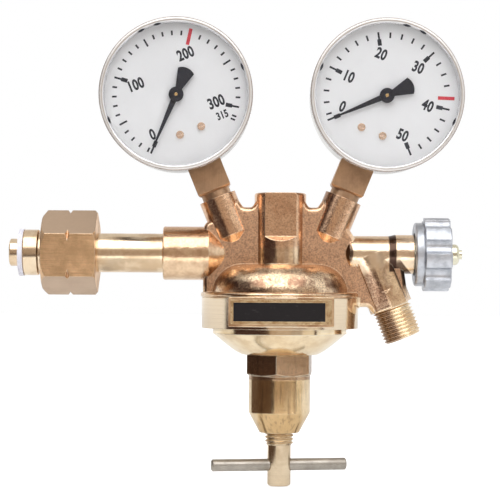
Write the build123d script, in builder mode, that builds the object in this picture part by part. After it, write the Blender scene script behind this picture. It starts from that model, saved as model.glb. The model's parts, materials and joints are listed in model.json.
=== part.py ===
from build123d import *
import os
from math import cos, radians, sin, sqrt, tan

# Forming gas regulator: a forged brass body between a cylinder union on the left and an outlet
# valve on the right, two pressure gauges above and a screw-loaded bonnet below.
# Millimetres. The origin is the centre of the inlet sealing face, +X runs along the inlet towards
# the body, +Y away from the viewer, +Z up. The main axis of the body is vertical.

# Clearances
still_gap = 0.02
running_gap = 0.05
free_gap = 0.3

# Inlet union
nose_radius = 5.6
nose_length = 3.9
nose_step = 0.3
gasket_radius = 9.6
gasket_thickness = 1.9
collar_radius = 9.35
collar_length = 6.2
stem_radius = 8.0
stem_engagement = 9.0
inlet_bore_radius = 2.75
small_edge = 0.4

# Inlet nut, with the notched corners of a left-hand thread
nut_start = 9.8
nut_length = 22.1
nut_across_flats = 30.0
nut_thread_radius = 10.0
nut_shoulder = 4.0
nut_turn = 4.6
nut_notch_width = 1.8
nut_notch_depth = 1.3
nut_front_chamfer = 1.9
nut_back_chamfer = 0.9

# Inlet filter
filter_radius = 4.6
filter_length = 8.0
filter_wall = 1.6

# Body, in heights above the inlet axis and distances from the main axis
main_x = 106.7
arm_start = 58.9
arm_radius = 10.95
arm_length = 18.7
arm_slope = 7.2
web_half = 5.5
web_edge = 2.4
web_skirt_foot = -20.0
web_outline = (
    (-31.5, web_skirt_foot, 0),
    (-31.5, 13.0, 4.2),
    (-27.5, 13.6, 0),
    (-17.6, 22.4, 0),
    (-15.2, 18.9, 1.6),
    (-11.6, 18.9, 1.6),
    (-9.5, 22.4, 0),
    (9.5, 22.4, 0),
    (11.6, 18.9, 1.6),
    (15.2, 18.9, 1.6),
    (17.6, 22.4, 0),
    (25.5, 14.0, 0),
    (30.8, 6.0, 0),
    (49.0, 3.0, 0),
    (51.0, -9.5, 4.2),
    (52.2, -17.6, 0),
    (46.0, -20.5, 0),
    (38.2, -24.6, 0),
    (35.8, -21.6, 1.5),
    (32.6, -21.6, 1.5),
    (30.0, -24.5, 0),
)
boss_radius = 10.6
boss_top = 24.8
boss_edge = 0.9
boss_flat_width = 12.8
boss_flat_bottom = 7.0
boss_flat_slope = 2.8
dome_flat_radius = 16.2
dome_shoulder = 11.85
dome_top = -4.3
lip_top = -15.7
lip_height = 2.3
skirt_radius = 32.0
lip_overhang = 0.4
skirt_bottom = -30.4
skirt_wall = 4.6
ledge_z = -21.5
ledge_width = 3.9
chamber_top = -8.8
chamber_corner = 4.0
seat_bore_radius = 6.4
seat_bore_top = -2.6
high_radius = 5.4
high_top = 16.5
passage_radius = 1.4

# Name plate and its pad
pad_width = 41.6
pad_height = 11.7
pad_centre_z = -23.3
pad_proud = 0.1
pad_corner = 0.6
plate_corner = 0.5
plate_width = 39.7
plate_height = 9.6
plate_thickness = 0.5
plate_border = 1.1
plate_border_rise = 0.25
plate_right_margin = 2.6

# Gauge ports
port_tilt = 22.2
port_radius = 7.7
port_top_offset = 25.8
port_top_z = 22.9
port_length = 16.5
port_slope = 3.0
port_thread_radius = 4.86
port_thread_depth = 10.0

# Outlet arm and valve housing
outlet_arm_start = 26.2
outlet_arm_slope = 2.1
outlet_arm_radius = 7.5
outlet_step_start = 44.6
outlet_step_length = 2.1
housing_radius = 8.0
housing_end = 54.6
outlet_seat_x = 33.2
outlet_chamber_radius = 4.4
outlet_chamber_end = 41.5
spindle_thread_radius = 4.0
packing_start = 48.6
packing_length = 2.6
packing_radius = 5.0

# Outlet boss and nozzle
outlet_tilt = 22.0
outlet_cross_x = 36.9
outlet_boss_length = 23.2
outlet_boss_across_flats = 16.4
outlet_boss_machined = 7.3
outlet_boss_bevel = 0.8
outlet_boss_bevel_start = 5.0
outlet_drill_radius = 2.5
outlet_way_radius = 2.0
outlet_nozzle_chamfer = 1.0
outlet_nozzle_radius = 8.0
outlet_nozzle_length = 13.6
outlet_nozzle_bore = 4.5
outlet_cone_half_angle = 30.0
outlet_wall = 1.9

# Bonnet
bonnet_top_z = -23.4
bonnet_groove_z = -31.6
bonnet_bell_step = 0.1
bonnet_waist_share = 0.606
bonnet_waist_drop = 0.453
bonnet_foot_share = 0.197
bonnet_foot_drop = 0.87
bonnet_hex_across_flats = 25.4
bonnet_hex_turn = -6.0
bonnet_hex_top = -41.6
bonnet_hex_height = 9.5
bonnet_hex_chamfer = 0.8
bonnet_chamber_slope = 3.0
bonnet_hex_bottom = -49.7
bonnet_neck_radius = 12.6
bonnet_neck_bottom = -64.8
bonnet_end_radius = 8.2
bonnet_end_z = -73.0
bonnet_chamber_radius = 10.4
bonnet_chamber_bottom = -64.0

# Adjusting screw and tee bar
screw_thread_radius = 6.0
screw_thread_end = -77.9
screw_stem_radius = 4.8
screw_end = -94.8
screw_tip_z = -61.5
screw_nose_radius = 3.0
screw_nose_length = 1.5
bar_radius = 2.5
bar_length = 56.0
bar_z = -86.3
bar_turn = 10.0
bar_chamfer = 0.5

# Diaphragm, its plates and springs
diaphragm_thickness = 1.0
slip_ring_width = 3.8
pin_plate_radius = 12.0
pin_plate_thickness = 1.5
pin_radius = 0.9
pin_tail_radius = 2.0
pin_tail_length = 5.2
spring_plate_radius = 19.5
spring_plate_thickness = 2.5
spring_spigot_radius = 6.2
spring_spigot_length = 2.6
main_wire_radius = 1.4
main_spring_radius = 8.1
main_spring_turns = 6.5
button_thickness = 2.6
button_radius = 10.0

# High pressure seat and poppet
seat_hex_across_flats = 14.0
seat_hex_height = 3.2
seat_orifice_radius = 1.4
seat_lip_radius = 2.3
seat_lip_height = 0.6
poppet_radius = 4.0
poppet_length = 6.2
poppet_stem_radius = 1.8
poppet_stem_length = 5.0
poppet_wire_radius = 0.4
poppet_spring_radius = 2.7
poppet_spring_turns = 6.0

# Outlet valve
disc_radius = 3.4
disc_thickness = 2.2
disc_shank_radius = 1.5
disc_shank_length = 2.4
spindle_thread_length = 7.2
spindle_stem_radius = 2.5
spindle_end = 74.4
spindle_tail_radius = 1.9
gland_hex_across_flats = 12.0
gland_hex_length = 2.4
wheel_start = 54.9
wheel_flange_radius = 13.0
wheel_flange_length = 3.8
wheel_grip_radius = 15.0
wheel_end = 69.3
wheel_recess_radius = 8.9
wheel_recess_length = 6.0
wheel_groove_radius = 3.3
wheel_groove_depth = 2.1
wheel_lobes = 8
wheel_first_groove = -12.0
wheel_edge = 0.8
wheel_nut_radius = 4.25
wheel_nut_length = 3.9
wheel_nut_round = 1.6

# Gauges, measured in the dial's own plane and forward from the port axis plane
case_radius = 30.5
case_wall = 0.8
case_back = -9.5
case_front = 14.4
case_lip_step = 0.5
case_lip_height = 1.0
window_front = 18.0
window_seat = 1.7
window_thickness = 1.6
window_spigot_depth = 2.2
dial_margin = 2.0
dial_front = 11.5
dial_thickness = 0.5
dial_screw_x = 4.6
dial_screw_y = -15.7
dial_screw_radius = 1.6
dial_screw_head = 0.7
arbor_radius = 0.7
hub_radius = 3.0
hub_back = 12.3
hub_thickness = 1.6
needle_thickness = 0.4
needle_length = 23.8
needle_root_width = 2.3
needle_tip_width = 0.5
tail_length = 11.5
tail_root_width = 2.9
tail_end_width = 7.0
rest_angle = 225.0
block_width = 14.0
block_end = 40.8
block_inner_width = 11.0
block_inner_depth = 9.6
block_top = -14.0
neck_radius = 6.0
tube_radius = 21.5
tube_width = 2.4
tube_depth = 7.0
tube_start = 14.0
tube_sweep = 275.0
frame_plate = 0.9
frame_half_width = 8.0
frame_top = 7.5
frame_bottom = -19.5
pillar_radius = 1.3
gear_module = 0.3
pinion_teeth = 10
sector_full_teeth = 70
sector_teeth = 12
gear_thickness = 1.2
gear_front = 8.6
sector_lead_teeth = 2
sector_hub_radius = 2.2
sector_rib = 1.6
sector_rib_angle = 12.0
sector_tail_length = 6.0
sector_tail_angle = -19.0
tooth_root = 1.25
tooth_tip = 0.8
tooth_foot = 0.15
tooth_foot_half = 0.28
tooth_tip_half = 0.1
link_width = 2.4
link_thickness = 0.6
link_pin_radius = 0.6
tip_length = 2.6
tube_wall = 0.35
relief_radius = 5.0
relief_flange = 0.8
relief_height = 15.0
gauge_distance = 44.2
case_back_round = 2.0
window_step = 1.0
window_round = 0.9
dial_screw_shank = 0.85
dial_screw_slot = 0.4
tail_arc = 1.3
pillar_inset = 1.8
block_chamfer = 0.8

# Worked out from the sizes above
lip_radius = skirt_radius + lip_overhang
skirt_thread_radius = skirt_radius - skirt_wall
chamber_radius = skirt_thread_radius - ledge_width
pad_front = lip_radius + pad_proud
bonnet_bell_radius = skirt_thread_radius + bonnet_bell_step
slip_ring_inner = skirt_thread_radius - slip_ring_width
case_lip_radius = case_radius + case_lip_step
window_rim_inner = case_radius - window_seat
dial_radius = case_radius - dial_margin
main_axis = Axis((main_x, 0, 0), (0, 0, 1))
front = Plane(origin=(main_x, 0, 0), x_dir=(1, 0, 0), z_dir=(0, -1, 0))
arm_end = arm_start + arm_length
collar_end = gasket_thickness + collar_length
stem_end = arm_start + stem_engagement
dome_base_radius = dome_flat_radius + dome_shoulder
diaphragm_radius = skirt_thread_radius - free_gap
diaphragm_bottom = ledge_z - diaphragm_thickness
spring_plate_bottom = diaphragm_bottom - spring_plate_thickness
seat_top = seat_bore_top + seat_lip_height
poppet_bottom = seat_top + running_gap
wheel_seat = wheel_start + wheel_recess_length
button_top = screw_tip_z + button_thickness
frame_back = block_inner_depth / 2
frame_front = dial_front - dial_thickness
pinion_pitch_radius = gear_module * pinion_teeth / 2
sector_pitch_radius = gear_module * sector_full_teeth / 2
centre_distance = gear_module * (pinion_teeth + sector_full_teeth) / 2

os.makedirs("parts", exist_ok=True)

# Inlet stem: a turned tail with the sealing nose, the collar and the tube screwed into the body
with BuildPart() as inlet_stem:
    with BuildSketch(Plane.XZ):
        with BuildLine():
            Polyline(
                (-nose_length, inlet_bore_radius),
                (-nose_length, nose_radius - small_edge),
                (-nose_length + small_edge, nose_radius),
                (0, nose_radius),
                (0, nose_radius - nose_step),
                (gasket_thickness, nose_radius - nose_step),
                (gasket_thickness, collar_radius - small_edge),
                (gasket_thickness + small_edge, collar_radius),
                (collar_end - small_edge, collar_radius),
                (collar_end, collar_radius - small_edge),
                (collar_end, stem_radius),
                (stem_end, stem_radius),
                (stem_end, filter_radius + still_gap),
                (stem_end - filter_length, filter_radius + still_gap),
                (stem_end - filter_length, inlet_bore_radius),
                close=True,
            )
        make_face()
    revolve(axis=Axis.X)
inlet_stem.part.label = "inlet_stem"
export_step(inlet_stem.part, "parts/inlet_stem.step")

# Flat seal ring between the collar and the cylinder valve
with BuildPart() as inlet_gasket:
    with BuildSketch(Plane.YZ):
        Circle(gasket_radius)
        Circle(nose_radius - nose_step + still_gap, mode=Mode.SUBTRACT)
    extrude(amount=gasket_thickness)
inlet_gasket.part.label = "inlet_gasket"
export_step(inlet_gasket.part, "parts/inlet_gasket.step")

# Sintered filter cup, pressed into the body end of the stem with its closed end upstream
with BuildPart() as inlet_filter:
    with BuildSketch(Plane.YZ.offset(stem_end - filter_length + still_gap)):
        Circle(filter_radius)
    extrude(amount=filter_length - still_gap)
    with BuildSketch(Plane.YZ.offset(stem_end - filter_length + filter_wall)):
        Circle(filter_radius - filter_wall)
    extrude(amount=filter_length, mode=Mode.SUBTRACT)
inlet_filter.part.label = "inlet_filter"
export_step(inlet_filter.part, "parts/inlet_filter.step")

# Union nut: a hexagon trimmed by a turned profile that gives both chamfers and the corner notches
nut_end = nut_start + nut_length
nut_corner = nut_across_flats / sqrt(3)
nut_notch_x = (nut_start + nut_end) / 2
nut_chamfer_drop = 2 * (nut_corner - nut_across_flats / 2)
with BuildPart() as inlet_nut:
    with BuildSketch(Plane.YZ.offset(nut_start)):
        RegularPolygon(nut_across_flats / 2, 6, major_radius=False, rotation=30 + nut_turn)
    extrude(amount=nut_length)
    with BuildSketch(Plane.XZ):
        with BuildLine():
            Polyline(
                (nut_start, 0),
                (nut_start, nut_corner - nut_front_chamfer * nut_chamfer_drop / 4),
                (nut_start + nut_front_chamfer, nut_corner),
                (nut_notch_x - nut_notch_width / 2, nut_corner),
                (nut_notch_x, nut_corner - nut_notch_depth),
                (nut_notch_x + nut_notch_width / 2, nut_corner),
                (nut_end - nut_back_chamfer, nut_corner),
                (nut_end, nut_corner - nut_back_chamfer * nut_chamfer_drop / 4),
                (nut_end, 0),
                close=True,
            )
        make_face()
    revolve(axis=Axis.X, mode=Mode.INTERSECT)
    with BuildSketch(Plane.XZ):
        with BuildLine():
            Polyline(
                (nut_start, 0),
                (nut_start, nut_thread_radius + 1),
                (nut_start + 1, nut_thread_radius),
                (nut_end - nut_shoulder, nut_thread_radius),
                (nut_end - nut_shoulder, stem_radius + running_gap),
                (nut_end, stem_radius + running_gap),
                (nut_end, 0),
                close=True,
            )
        make_face()
    revolve(axis=Axis.X, mode=Mode.SUBTRACT)
inlet_nut.part.label = "inlet_nut"
export_step(inlet_nut.part, "parts/inlet_nut.step")

# Gauge port axes lean outwards, away from the main axis, by the port tilt on each side
port_planes = []
for side in (-1, 1):
    port_planes.append(
        Plane(
            origin=(main_x + side * port_top_offset, 0, port_top_z),
            x_dir=(0, 1, 0),
            z_dir=(side * sin(radians(port_tilt)), 0, cos(radians(port_tilt))),
        )
    )
outlet_direction = (sin(radians(outlet_tilt)), 0, -cos(radians(outlet_tilt)))
outlet_plane = Plane(origin=(main_x + outlet_cross_x, 0, 0), x_dir=(0, 1, 0), z_dir=outlet_direction)
outlet_axis = Axis(outlet_plane.origin, outlet_direction)
outlet_side_plane = Plane(
    origin=outlet_plane.origin,
    x_dir=(0, -1, 0),
    z_dir=(cos(radians(outlet_tilt)), 0, sin(radians(outlet_tilt))),
)
nozzle_end = outlet_boss_length + outlet_nozzle_length
outlet_cone_depth = (outlet_nozzle_radius - outlet_wall - outlet_nozzle_bore) / tan(
    radians(outlet_cone_half_angle)
)
boss_corner = outlet_boss_across_flats / 2 / cos(radians(22.5))
boss_bevel_end = outlet_boss_length - outlet_boss_machined
boss_flat_y = sqrt(boss_radius**2 - (boss_flat_width / 2) ** 2)

# Forged body: a flat web joins the boss, the ports, the arms and the domed chamber
with BuildPart() as regulator_body:
    with BuildSketch(front):
        with BuildLine():
            FilletPolyline(
                *[(x, z) for x, z, corner in web_outline],
                radius=[corner for x, z, corner in web_outline],
                close=True,
            )
        make_face()
    extrude(amount=web_half, both=True)
    fillet(regulator_body.edges().group_by(Axis.Y)[0], web_edge)
    fillet(regulator_body.edges().group_by(Axis.Y)[-1], web_edge)
    # Domed chamber with its lip and skirt
    with BuildSketch(front):
        with BuildLine():
            lip_round = lip_height / 2
            Polyline(
                (skirt_radius, lip_top - lip_height),
                (skirt_radius, skirt_bottom),
                (0, skirt_bottom),
                (0, dome_top),
                (dome_flat_radius, dome_top),
            )
            ThreePointArc(
                (dome_flat_radius, dome_top),
                (
                    dome_flat_radius + dome_shoulder * sin(radians(45)),
                    dome_top - dome_shoulder * (1 - cos(radians(45))),
                ),
                (dome_base_radius, dome_top - dome_shoulder),
            )
            Polyline(
                (dome_base_radius, dome_top - dome_shoulder),
                (dome_base_radius, lip_top - small_edge),
                (dome_base_radius + small_edge, lip_top),
                (lip_radius - lip_round, lip_top),
            )
            ThreePointArc(
                (lip_radius - lip_round, lip_top),
                (lip_radius, lip_top - lip_round),
                (lip_radius - lip_round, lip_top - lip_height),
            )
            Line((lip_radius - lip_round, lip_top - lip_height), (skirt_radius, lip_top - lip_height))
        make_face()
    revolve(axis=main_axis)
    # Top boss with its flat, which ends in a sloped half-moon
    with BuildSketch(Plane.XY.offset(dome_top - dome_shoulder)):
        with Locations((main_x, 0)):
            Circle(boss_radius)
    extrude(amount=boss_top - dome_top + dome_shoulder)
    fillet(regulator_body.faces().sort_by(Axis.Z)[-1].edges(), boss_edge)
    with BuildSketch(Plane(origin=(main_x, 0, 0), x_dir=(0, 1, 0), z_dir=(1, 0, 0))):
        with BuildLine():
            Polyline(
                (-boss_flat_y, boss_top + 1),
                (-boss_flat_y, boss_flat_bottom),
                (-boss_radius - 1, boss_flat_bottom - boss_flat_slope),
                (-boss_radius - 1, boss_top + 1),
                close=True,
            )
        make_face()
    extrude(amount=boss_radius, both=True, mode=Mode.SUBTRACT)
    # Gauge ports, each with a sloped lower end that dies into the web
    for port_plane in port_planes:
        with BuildSketch(port_plane):
            Circle(port_radius)
        extrude(amount=-port_length)
        with BuildSketch(port_plane.offset(-port_length)):
            Circle(port_radius)
        extrude(amount=-port_slope, taper=35)
    # Inlet arm with its sloped end, and the outlet arm with the step to the valve housing
    with BuildSketch(front):
        with BuildLine():
            Polyline(
                (arm_start - main_x, 0),
                (arm_start - main_x, arm_radius - small_edge),
                (arm_start - main_x + small_edge, arm_radius),
                (arm_end - main_x, arm_radius),
                (arm_end - main_x + arm_slope, web_half - small_edge),
                (arm_end - main_x + arm_slope, 0),
                close=True,
            )
        make_face()
    revolve(axis=Axis.X)
    with BuildSketch(front):
        with BuildLine():
            Polyline(
                (outlet_arm_start, 0),
                (outlet_arm_start, web_half - small_edge),
                (outlet_arm_start + outlet_arm_slope, outlet_arm_radius),
                (outlet_step_start, outlet_arm_radius),
                (outlet_step_start + outlet_step_length, housing_radius),
                (housing_end, housing_radius),
                (housing_end, 0),
                close=True,
            )
        make_face()
    revolve(axis=Axis.X)
    # Outlet boss: eight-sided with a corner to the front, its upper corner bevelled
    with BuildSketch(outlet_plane):
        RegularPolygon(boss_corner, 8, rotation=0)
    extrude(amount=outlet_boss_length)
    with BuildSketch(outlet_side_plane):
        with BuildLine():
            Polyline(
                (outlet_arm_radius, 0),
                (boss_corner - outlet_boss_bevel, outlet_boss_bevel_start),
                (boss_corner - outlet_boss_bevel, boss_bevel_end),
                (boss_corner, boss_bevel_end + outlet_boss_bevel),
                (boss_corner + 1, boss_bevel_end + outlet_boss_bevel),
                (boss_corner + 1, 0),
                close=True,
            )
        make_face()
    extrude(amount=boss_corner, both=True, mode=Mode.SUBTRACT)
    with BuildSketch(outlet_plane.offset(outlet_boss_length)):
        Circle(outlet_nozzle_radius)
    extrude(amount=outlet_nozzle_length)
    chamfer(regulator_body.faces().sort_by(outlet_axis)[-1].edges(), outlet_nozzle_chamfer)
    # Pad for the name plate
    with BuildSketch(Plane(origin=(main_x, -pad_front, pad_centre_z), x_dir=(1, 0, 0), z_dir=(0, -1, 0))):
        RectangleRounded(pad_width, pad_height, pad_corner)
    extrude(amount=-(pad_front - chamber_radius))
    # Chamber under the dome, the ledge and thread for the bonnet, and the bore for the valve seat
    with BuildSketch(front):
        with BuildLine():
            Polyline(
                (0, skirt_bottom),
                (skirt_thread_radius, skirt_bottom),
                (skirt_thread_radius, ledge_z),
                (chamber_radius, ledge_z),
                (chamber_radius, chamber_top - chamber_corner),
                (chamber_radius - chamber_corner, chamber_top),
                (seat_bore_radius, chamber_top),
                (seat_bore_radius, seat_bore_top),
                (high_radius, seat_bore_top),
                (high_radius, high_top - 1),
                (high_radius - 1, high_top),
                (0, high_top),
                close=True,
            )
        make_face()
    revolve(axis=main_axis, mode=Mode.SUBTRACT)
    # Inlet bore: the socket for the stem, then the way to the high pressure chamber
    with BuildSketch(Plane.YZ.offset(arm_start)):
        Circle(stem_radius + still_gap)
    extrude(amount=stem_engagement + still_gap, mode=Mode.SUBTRACT)
    with BuildSketch(Plane.YZ.offset(arm_start)):
        Circle(inlet_bore_radius)
    extrude(amount=main_x - arm_start, mode=Mode.SUBTRACT)
    # Threaded gauge ports and their drilled ways: the left one meets the inlet bore, the right
    # one goes on into the chamber under the dome
    for port_plane, drill_z in zip(port_planes, (0, chamber_top - 1)):
        with BuildSketch(port_plane):
            Circle(port_thread_radius)
        extrude(amount=-port_thread_depth, mode=Mode.SUBTRACT)
        with BuildSketch(port_plane):
            Circle(passage_radius)
        extrude(amount=-(port_top_z - drill_z) / cos(radians(port_tilt)), mode=Mode.SUBTRACT)
    # Outlet way from the right gauge port to the valve seat, then the valve housing bore
    outlet_way_start = port_top_offset - port_top_z * tan(radians(port_tilt))
    with BuildSketch(front):
        with BuildLine():
            Polyline(
                (outlet_way_start, 0),
                (outlet_way_start, outlet_way_radius),
                (outlet_seat_x, outlet_way_radius),
                (outlet_seat_x, outlet_chamber_radius),
                (outlet_chamber_end, outlet_chamber_radius),
                (outlet_chamber_end, spindle_thread_radius + running_gap),
                (packing_start, spindle_thread_radius + running_gap),
                (packing_start, packing_radius),
                (housing_end, packing_radius),
                (housing_end, 0),
                close=True,
            )
        make_face()
    revolve(axis=Axis.X, mode=Mode.SUBTRACT)
    # Outlet bore with the sixty degree seat at the nozzle's mouth
    with BuildSketch(outlet_side_plane):
        with BuildLine():
            Polyline(
                (0, 0),
                (outlet_drill_radius, 0),
                (outlet_drill_radius, boss_bevel_end),
                (outlet_nozzle_bore, boss_bevel_end),
                (outlet_nozzle_bore, nozzle_end - outlet_cone_depth),
                (outlet_nozzle_radius - outlet_wall, nozzle_end),
                (0, nozzle_end),
                close=True,
            )
        make_face()
    revolve(axis=outlet_axis, mode=Mode.SUBTRACT)
regulator_body.part.label = "regulator_body"
export_step(regulator_body.part, "parts/regulator_body.step")

# Name plate: a pressed plate with a raised border and a wider margin on the right
plate_field_width = plate_width - plate_border - plate_right_margin
with BuildPart() as name_plate:
    with BuildSketch(Plane(origin=(main_x, -pad_front, pad_centre_z), x_dir=(1, 0, 0), z_dir=(0, -1, 0))):
        RectangleRounded(plate_width, plate_height, plate_corner)
    extrude(amount=plate_thickness)
    with BuildSketch(
        Plane(origin=(main_x, -pad_front - plate_thickness, pad_centre_z), x_dir=(1, 0, 0), z_dir=(0, -1, 0))
    ):
        with Locations(((plate_border - plate_right_margin) / 2, 0)):
            Rectangle(plate_field_width, plate_height - 2 * plate_border)
    extrude(amount=-plate_border_rise, mode=Mode.SUBTRACT)
name_plate.part.label = "name_plate"
export_step(name_plate.part, "parts/name_plate.step")

# Bonnet: threaded rim, bell, hexagon, neck and cone in one turned piece
bonnet_hex_corner = bonnet_hex_across_flats / sqrt(3)



def bell_point(share, drop):
    """A point of the bell's outline, by its share of the width and of the height down to the hexagon."""
    bell_top = bonnet_groove_z - 1
    return (
        bonnet_hex_corner + share * (bonnet_bell_radius - bonnet_hex_corner),
        bell_top + drop * (bonnet_hex_top - bell_top),
    )


with BuildPart() as bonnet:
    with BuildSketch(front):
        with BuildLine():
            Polyline(
                (0, bonnet_top_z),
                (skirt_thread_radius - still_gap, bonnet_top_z),
                (skirt_thread_radius - still_gap, bonnet_groove_z),
                (bonnet_bell_radius, bonnet_groove_z - 1),
            )
            Spline(
                (bonnet_bell_radius, bonnet_groove_z - 1),
                bell_point(bonnet_waist_share, bonnet_waist_drop),
                bell_point(bonnet_foot_share, bonnet_foot_drop),
                (bonnet_hex_corner, bonnet_hex_top),
            )
            Polyline(
                (bonnet_hex_corner, bonnet_hex_top),
                (bonnet_hex_corner, bonnet_hex_bottom + bonnet_hex_chamfer),
                (bonnet_hex_across_flats / 2, bonnet_hex_bottom),
                (bonnet_neck_radius, bonnet_hex_bottom),
                (bonnet_neck_radius, bonnet_neck_bottom),
                (bonnet_end_radius, bonnet_end_z),
                (0, bonnet_end_z),
                (0, bonnet_top_z),
            )
        make_face()
    revolve(axis=main_axis)
    with BuildSketch(Plane.XY.offset(bonnet_hex_bottom)):
        with Locations((main_x, 0)):
            Circle(bonnet_hex_corner + 1)
            RegularPolygon(
                bonnet_hex_across_flats / 2,
                6,
                major_radius=False,
                rotation=30 + bonnet_hex_turn,
                mode=Mode.SUBTRACT,
            )
    extrude(amount=bonnet_hex_height, mode=Mode.SUBTRACT)
    with BuildSketch(front):
        with BuildLine():
            Polyline(
                (0, bonnet_top_z),
                (slip_ring_inner, bonnet_top_z),
                (slip_ring_inner, bonnet_groove_z),
                (bonnet_chamber_radius, bonnet_hex_top),
                (bonnet_chamber_radius, bonnet_chamber_bottom),
                (screw_thread_radius + running_gap, bonnet_chamber_bottom - bonnet_chamber_slope),
                (screw_thread_radius + running_gap, bonnet_end_z),
                (0, bonnet_end_z),
                close=True,
            )
        make_face()
    revolve(axis=main_axis, mode=Mode.SUBTRACT)
bonnet.part.label = "bonnet"
export_step(bonnet.part, "parts/bonnet.step")

# Hexagonal valve seat, screwed up into the body, with the sealing lip round its orifice
with BuildPart() as valve_seat:
    with BuildSketch(Plane.XY.offset(chamber_top - seat_hex_height)):
        with Locations((main_x, 0)):
            RegularPolygon(seat_hex_across_flats / 2, 6, major_radius=False)
    extrude(amount=seat_hex_height)
    with BuildSketch(front):
        with BuildLine():
            Polyline(
                (0, chamber_top),
                (seat_bore_radius - still_gap, chamber_top),
                (seat_bore_radius - still_gap, seat_bore_top),
                (seat_lip_radius + seat_lip_height, seat_bore_top),
                (seat_lip_radius, seat_top),
                (0, seat_top),
                close=True,
            )
        make_face()
    revolve(axis=main_axis)
    with BuildSketch(Plane.XY.offset(chamber_top - seat_hex_height)):
        with Locations((main_x, 0)):
            Circle(seat_orifice_radius)
    extrude(amount=seat_top - chamber_top + seat_hex_height, mode=Mode.SUBTRACT)
valve_seat.part.label = "valve_seat"
export_step(valve_seat.part, "parts/valve_seat.step")

# Poppet with its guide stem, and the light spring that closes it
with BuildPart() as poppet:
    with BuildSketch(Plane.XY.offset(poppet_bottom)):
        with Locations((main_x, 0)):
            Circle(poppet_radius)
    extrude(amount=poppet_length)
    with BuildSketch(Plane.XY.offset(poppet_bottom + poppet_length)):
        with Locations((main_x, 0)):
            Circle(poppet_stem_radius)
    extrude(amount=poppet_stem_length)
poppet.part.label = "poppet"
export_step(poppet.part, "parts/poppet.step")


def coil_spring(bottom, top, mean_radius, wire_radius, turns):
    """Round wire wound between two heights about the main axis, its ends ground flat."""
    with BuildPart() as spring:
        with BuildLine():
            wire = Helix(
                pitch=(top - bottom) / turns,
                height=top - bottom,
                radius=mean_radius,
                center=(main_x, 0, bottom),
            )
        with BuildSketch(Plane(origin=wire @ 0, z_dir=wire % 0)):
            Circle(wire_radius)
        sweep(path=wire)
        with BuildSketch(Plane.XY.offset(bottom)):
            with Locations((main_x, 0)):
                Circle(mean_radius + 2 * wire_radius)
        extrude(amount=top - bottom, mode=Mode.INTERSECT)
    return spring.part


poppet_spring = coil_spring(
    poppet_bottom + poppet_length, high_top, poppet_spring_radius, poppet_wire_radius, poppet_spring_turns
)
poppet_spring.label = "poppet_spring"
export_step(poppet_spring, "parts/poppet_spring.step")

# Push pin: its plate lies on the diaphragm, its needle reaches up through the seat to the poppet
# and its tail clamps the spring plate below
with BuildPart() as push_pin:
    with BuildSketch(Plane.XY.offset(ledge_z)):
        with Locations((main_x, 0)):
            Circle(pin_plate_radius)
    extrude(amount=pin_plate_thickness)
    with BuildSketch(Plane.XY.offset(ledge_z)):
        with Locations((main_x, 0)):
            Circle(pin_radius)
    extrude(amount=poppet_bottom - ledge_z)
    with BuildSketch(Plane.XY.offset(ledge_z - pin_tail_length)):
        with Locations((main_x, 0)):
            Circle(pin_tail_radius)
    extrude(amount=pin_tail_length)
push_pin.part.label = "push_pin"
export_step(push_pin.part, "parts/push_pin.step")

# Rubber diaphragm between the ledge and the slip ring
with BuildPart() as diaphragm:
    with BuildSketch(Plane.XY.offset(diaphragm_bottom)):
        with Locations((main_x, 0)):
            Circle(diaphragm_radius)
            Circle(pin_tail_radius + still_gap, mode=Mode.SUBTRACT)
    extrude(amount=diaphragm_thickness)
diaphragm.part.label = "diaphragm"
export_step(diaphragm.part, "parts/diaphragm.step")

with BuildPart() as slip_ring:
    with BuildSketch(Plane.XY.offset(bonnet_top_z)):
        with Locations((main_x, 0)):
            Circle(diaphragm_radius)
            Circle(slip_ring_inner, mode=Mode.SUBTRACT)
    extrude(amount=diaphragm_bottom - bonnet_top_z)
slip_ring.part.label = "slip_ring"
export_step(slip_ring.part, "parts/slip_ring.step")

# Spring plate under the diaphragm, with a spigot that centres the main spring
with BuildPart() as spring_plate:
    with BuildSketch(Plane.XY.offset(spring_plate_bottom)):
        with Locations((main_x, 0)):
            Circle(spring_plate_radius)
    extrude(amount=spring_plate_thickness)
    with BuildSketch(Plane.XY.offset(spring_plate_bottom)):
        with Locations((main_x, 0)):
            Circle(spring_spigot_radius)
    extrude(amount=-spring_spigot_length)
    with BuildSketch(Plane.XY.offset(spring_plate_bottom - spring_spigot_length)):
        with Locations((main_x, 0)):
            Circle(pin_tail_radius + still_gap)
    extrude(amount=spring_plate_thickness + spring_spigot_length, mode=Mode.SUBTRACT)
spring_plate.part.label = "spring_plate"
export_step(spring_plate.part, "parts/spring_plate.step")

main_spring = coil_spring(
    button_top, spring_plate_bottom, main_spring_radius, main_wire_radius, main_spring_turns
)
main_spring.label = "main_spring"
export_step(main_spring, "parts/main_spring.step")

# Spring button, with a blind hole under it for the nose of the adjusting screw
with BuildPart() as spring_button:
    with BuildSketch(Plane.XY.offset(screw_tip_z)):
        with Locations((main_x, 0)):
            Circle(button_radius)
    extrude(amount=button_thickness)
    with BuildSketch(Plane.XY.offset(button_top)):
        with Locations((main_x, 0)):
            Circle(spring_spigot_radius)
    extrude(amount=button_thickness)
    with BuildSketch(Plane.XY.offset(screw_tip_z)):
        with Locations((main_x, 0)):
            Circle(screw_nose_radius + running_gap)
    extrude(amount=screw_nose_length + running_gap, mode=Mode.SUBTRACT)
spring_button.part.label = "spring_button"
export_step(spring_button.part, "parts/spring_button.step")

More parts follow.
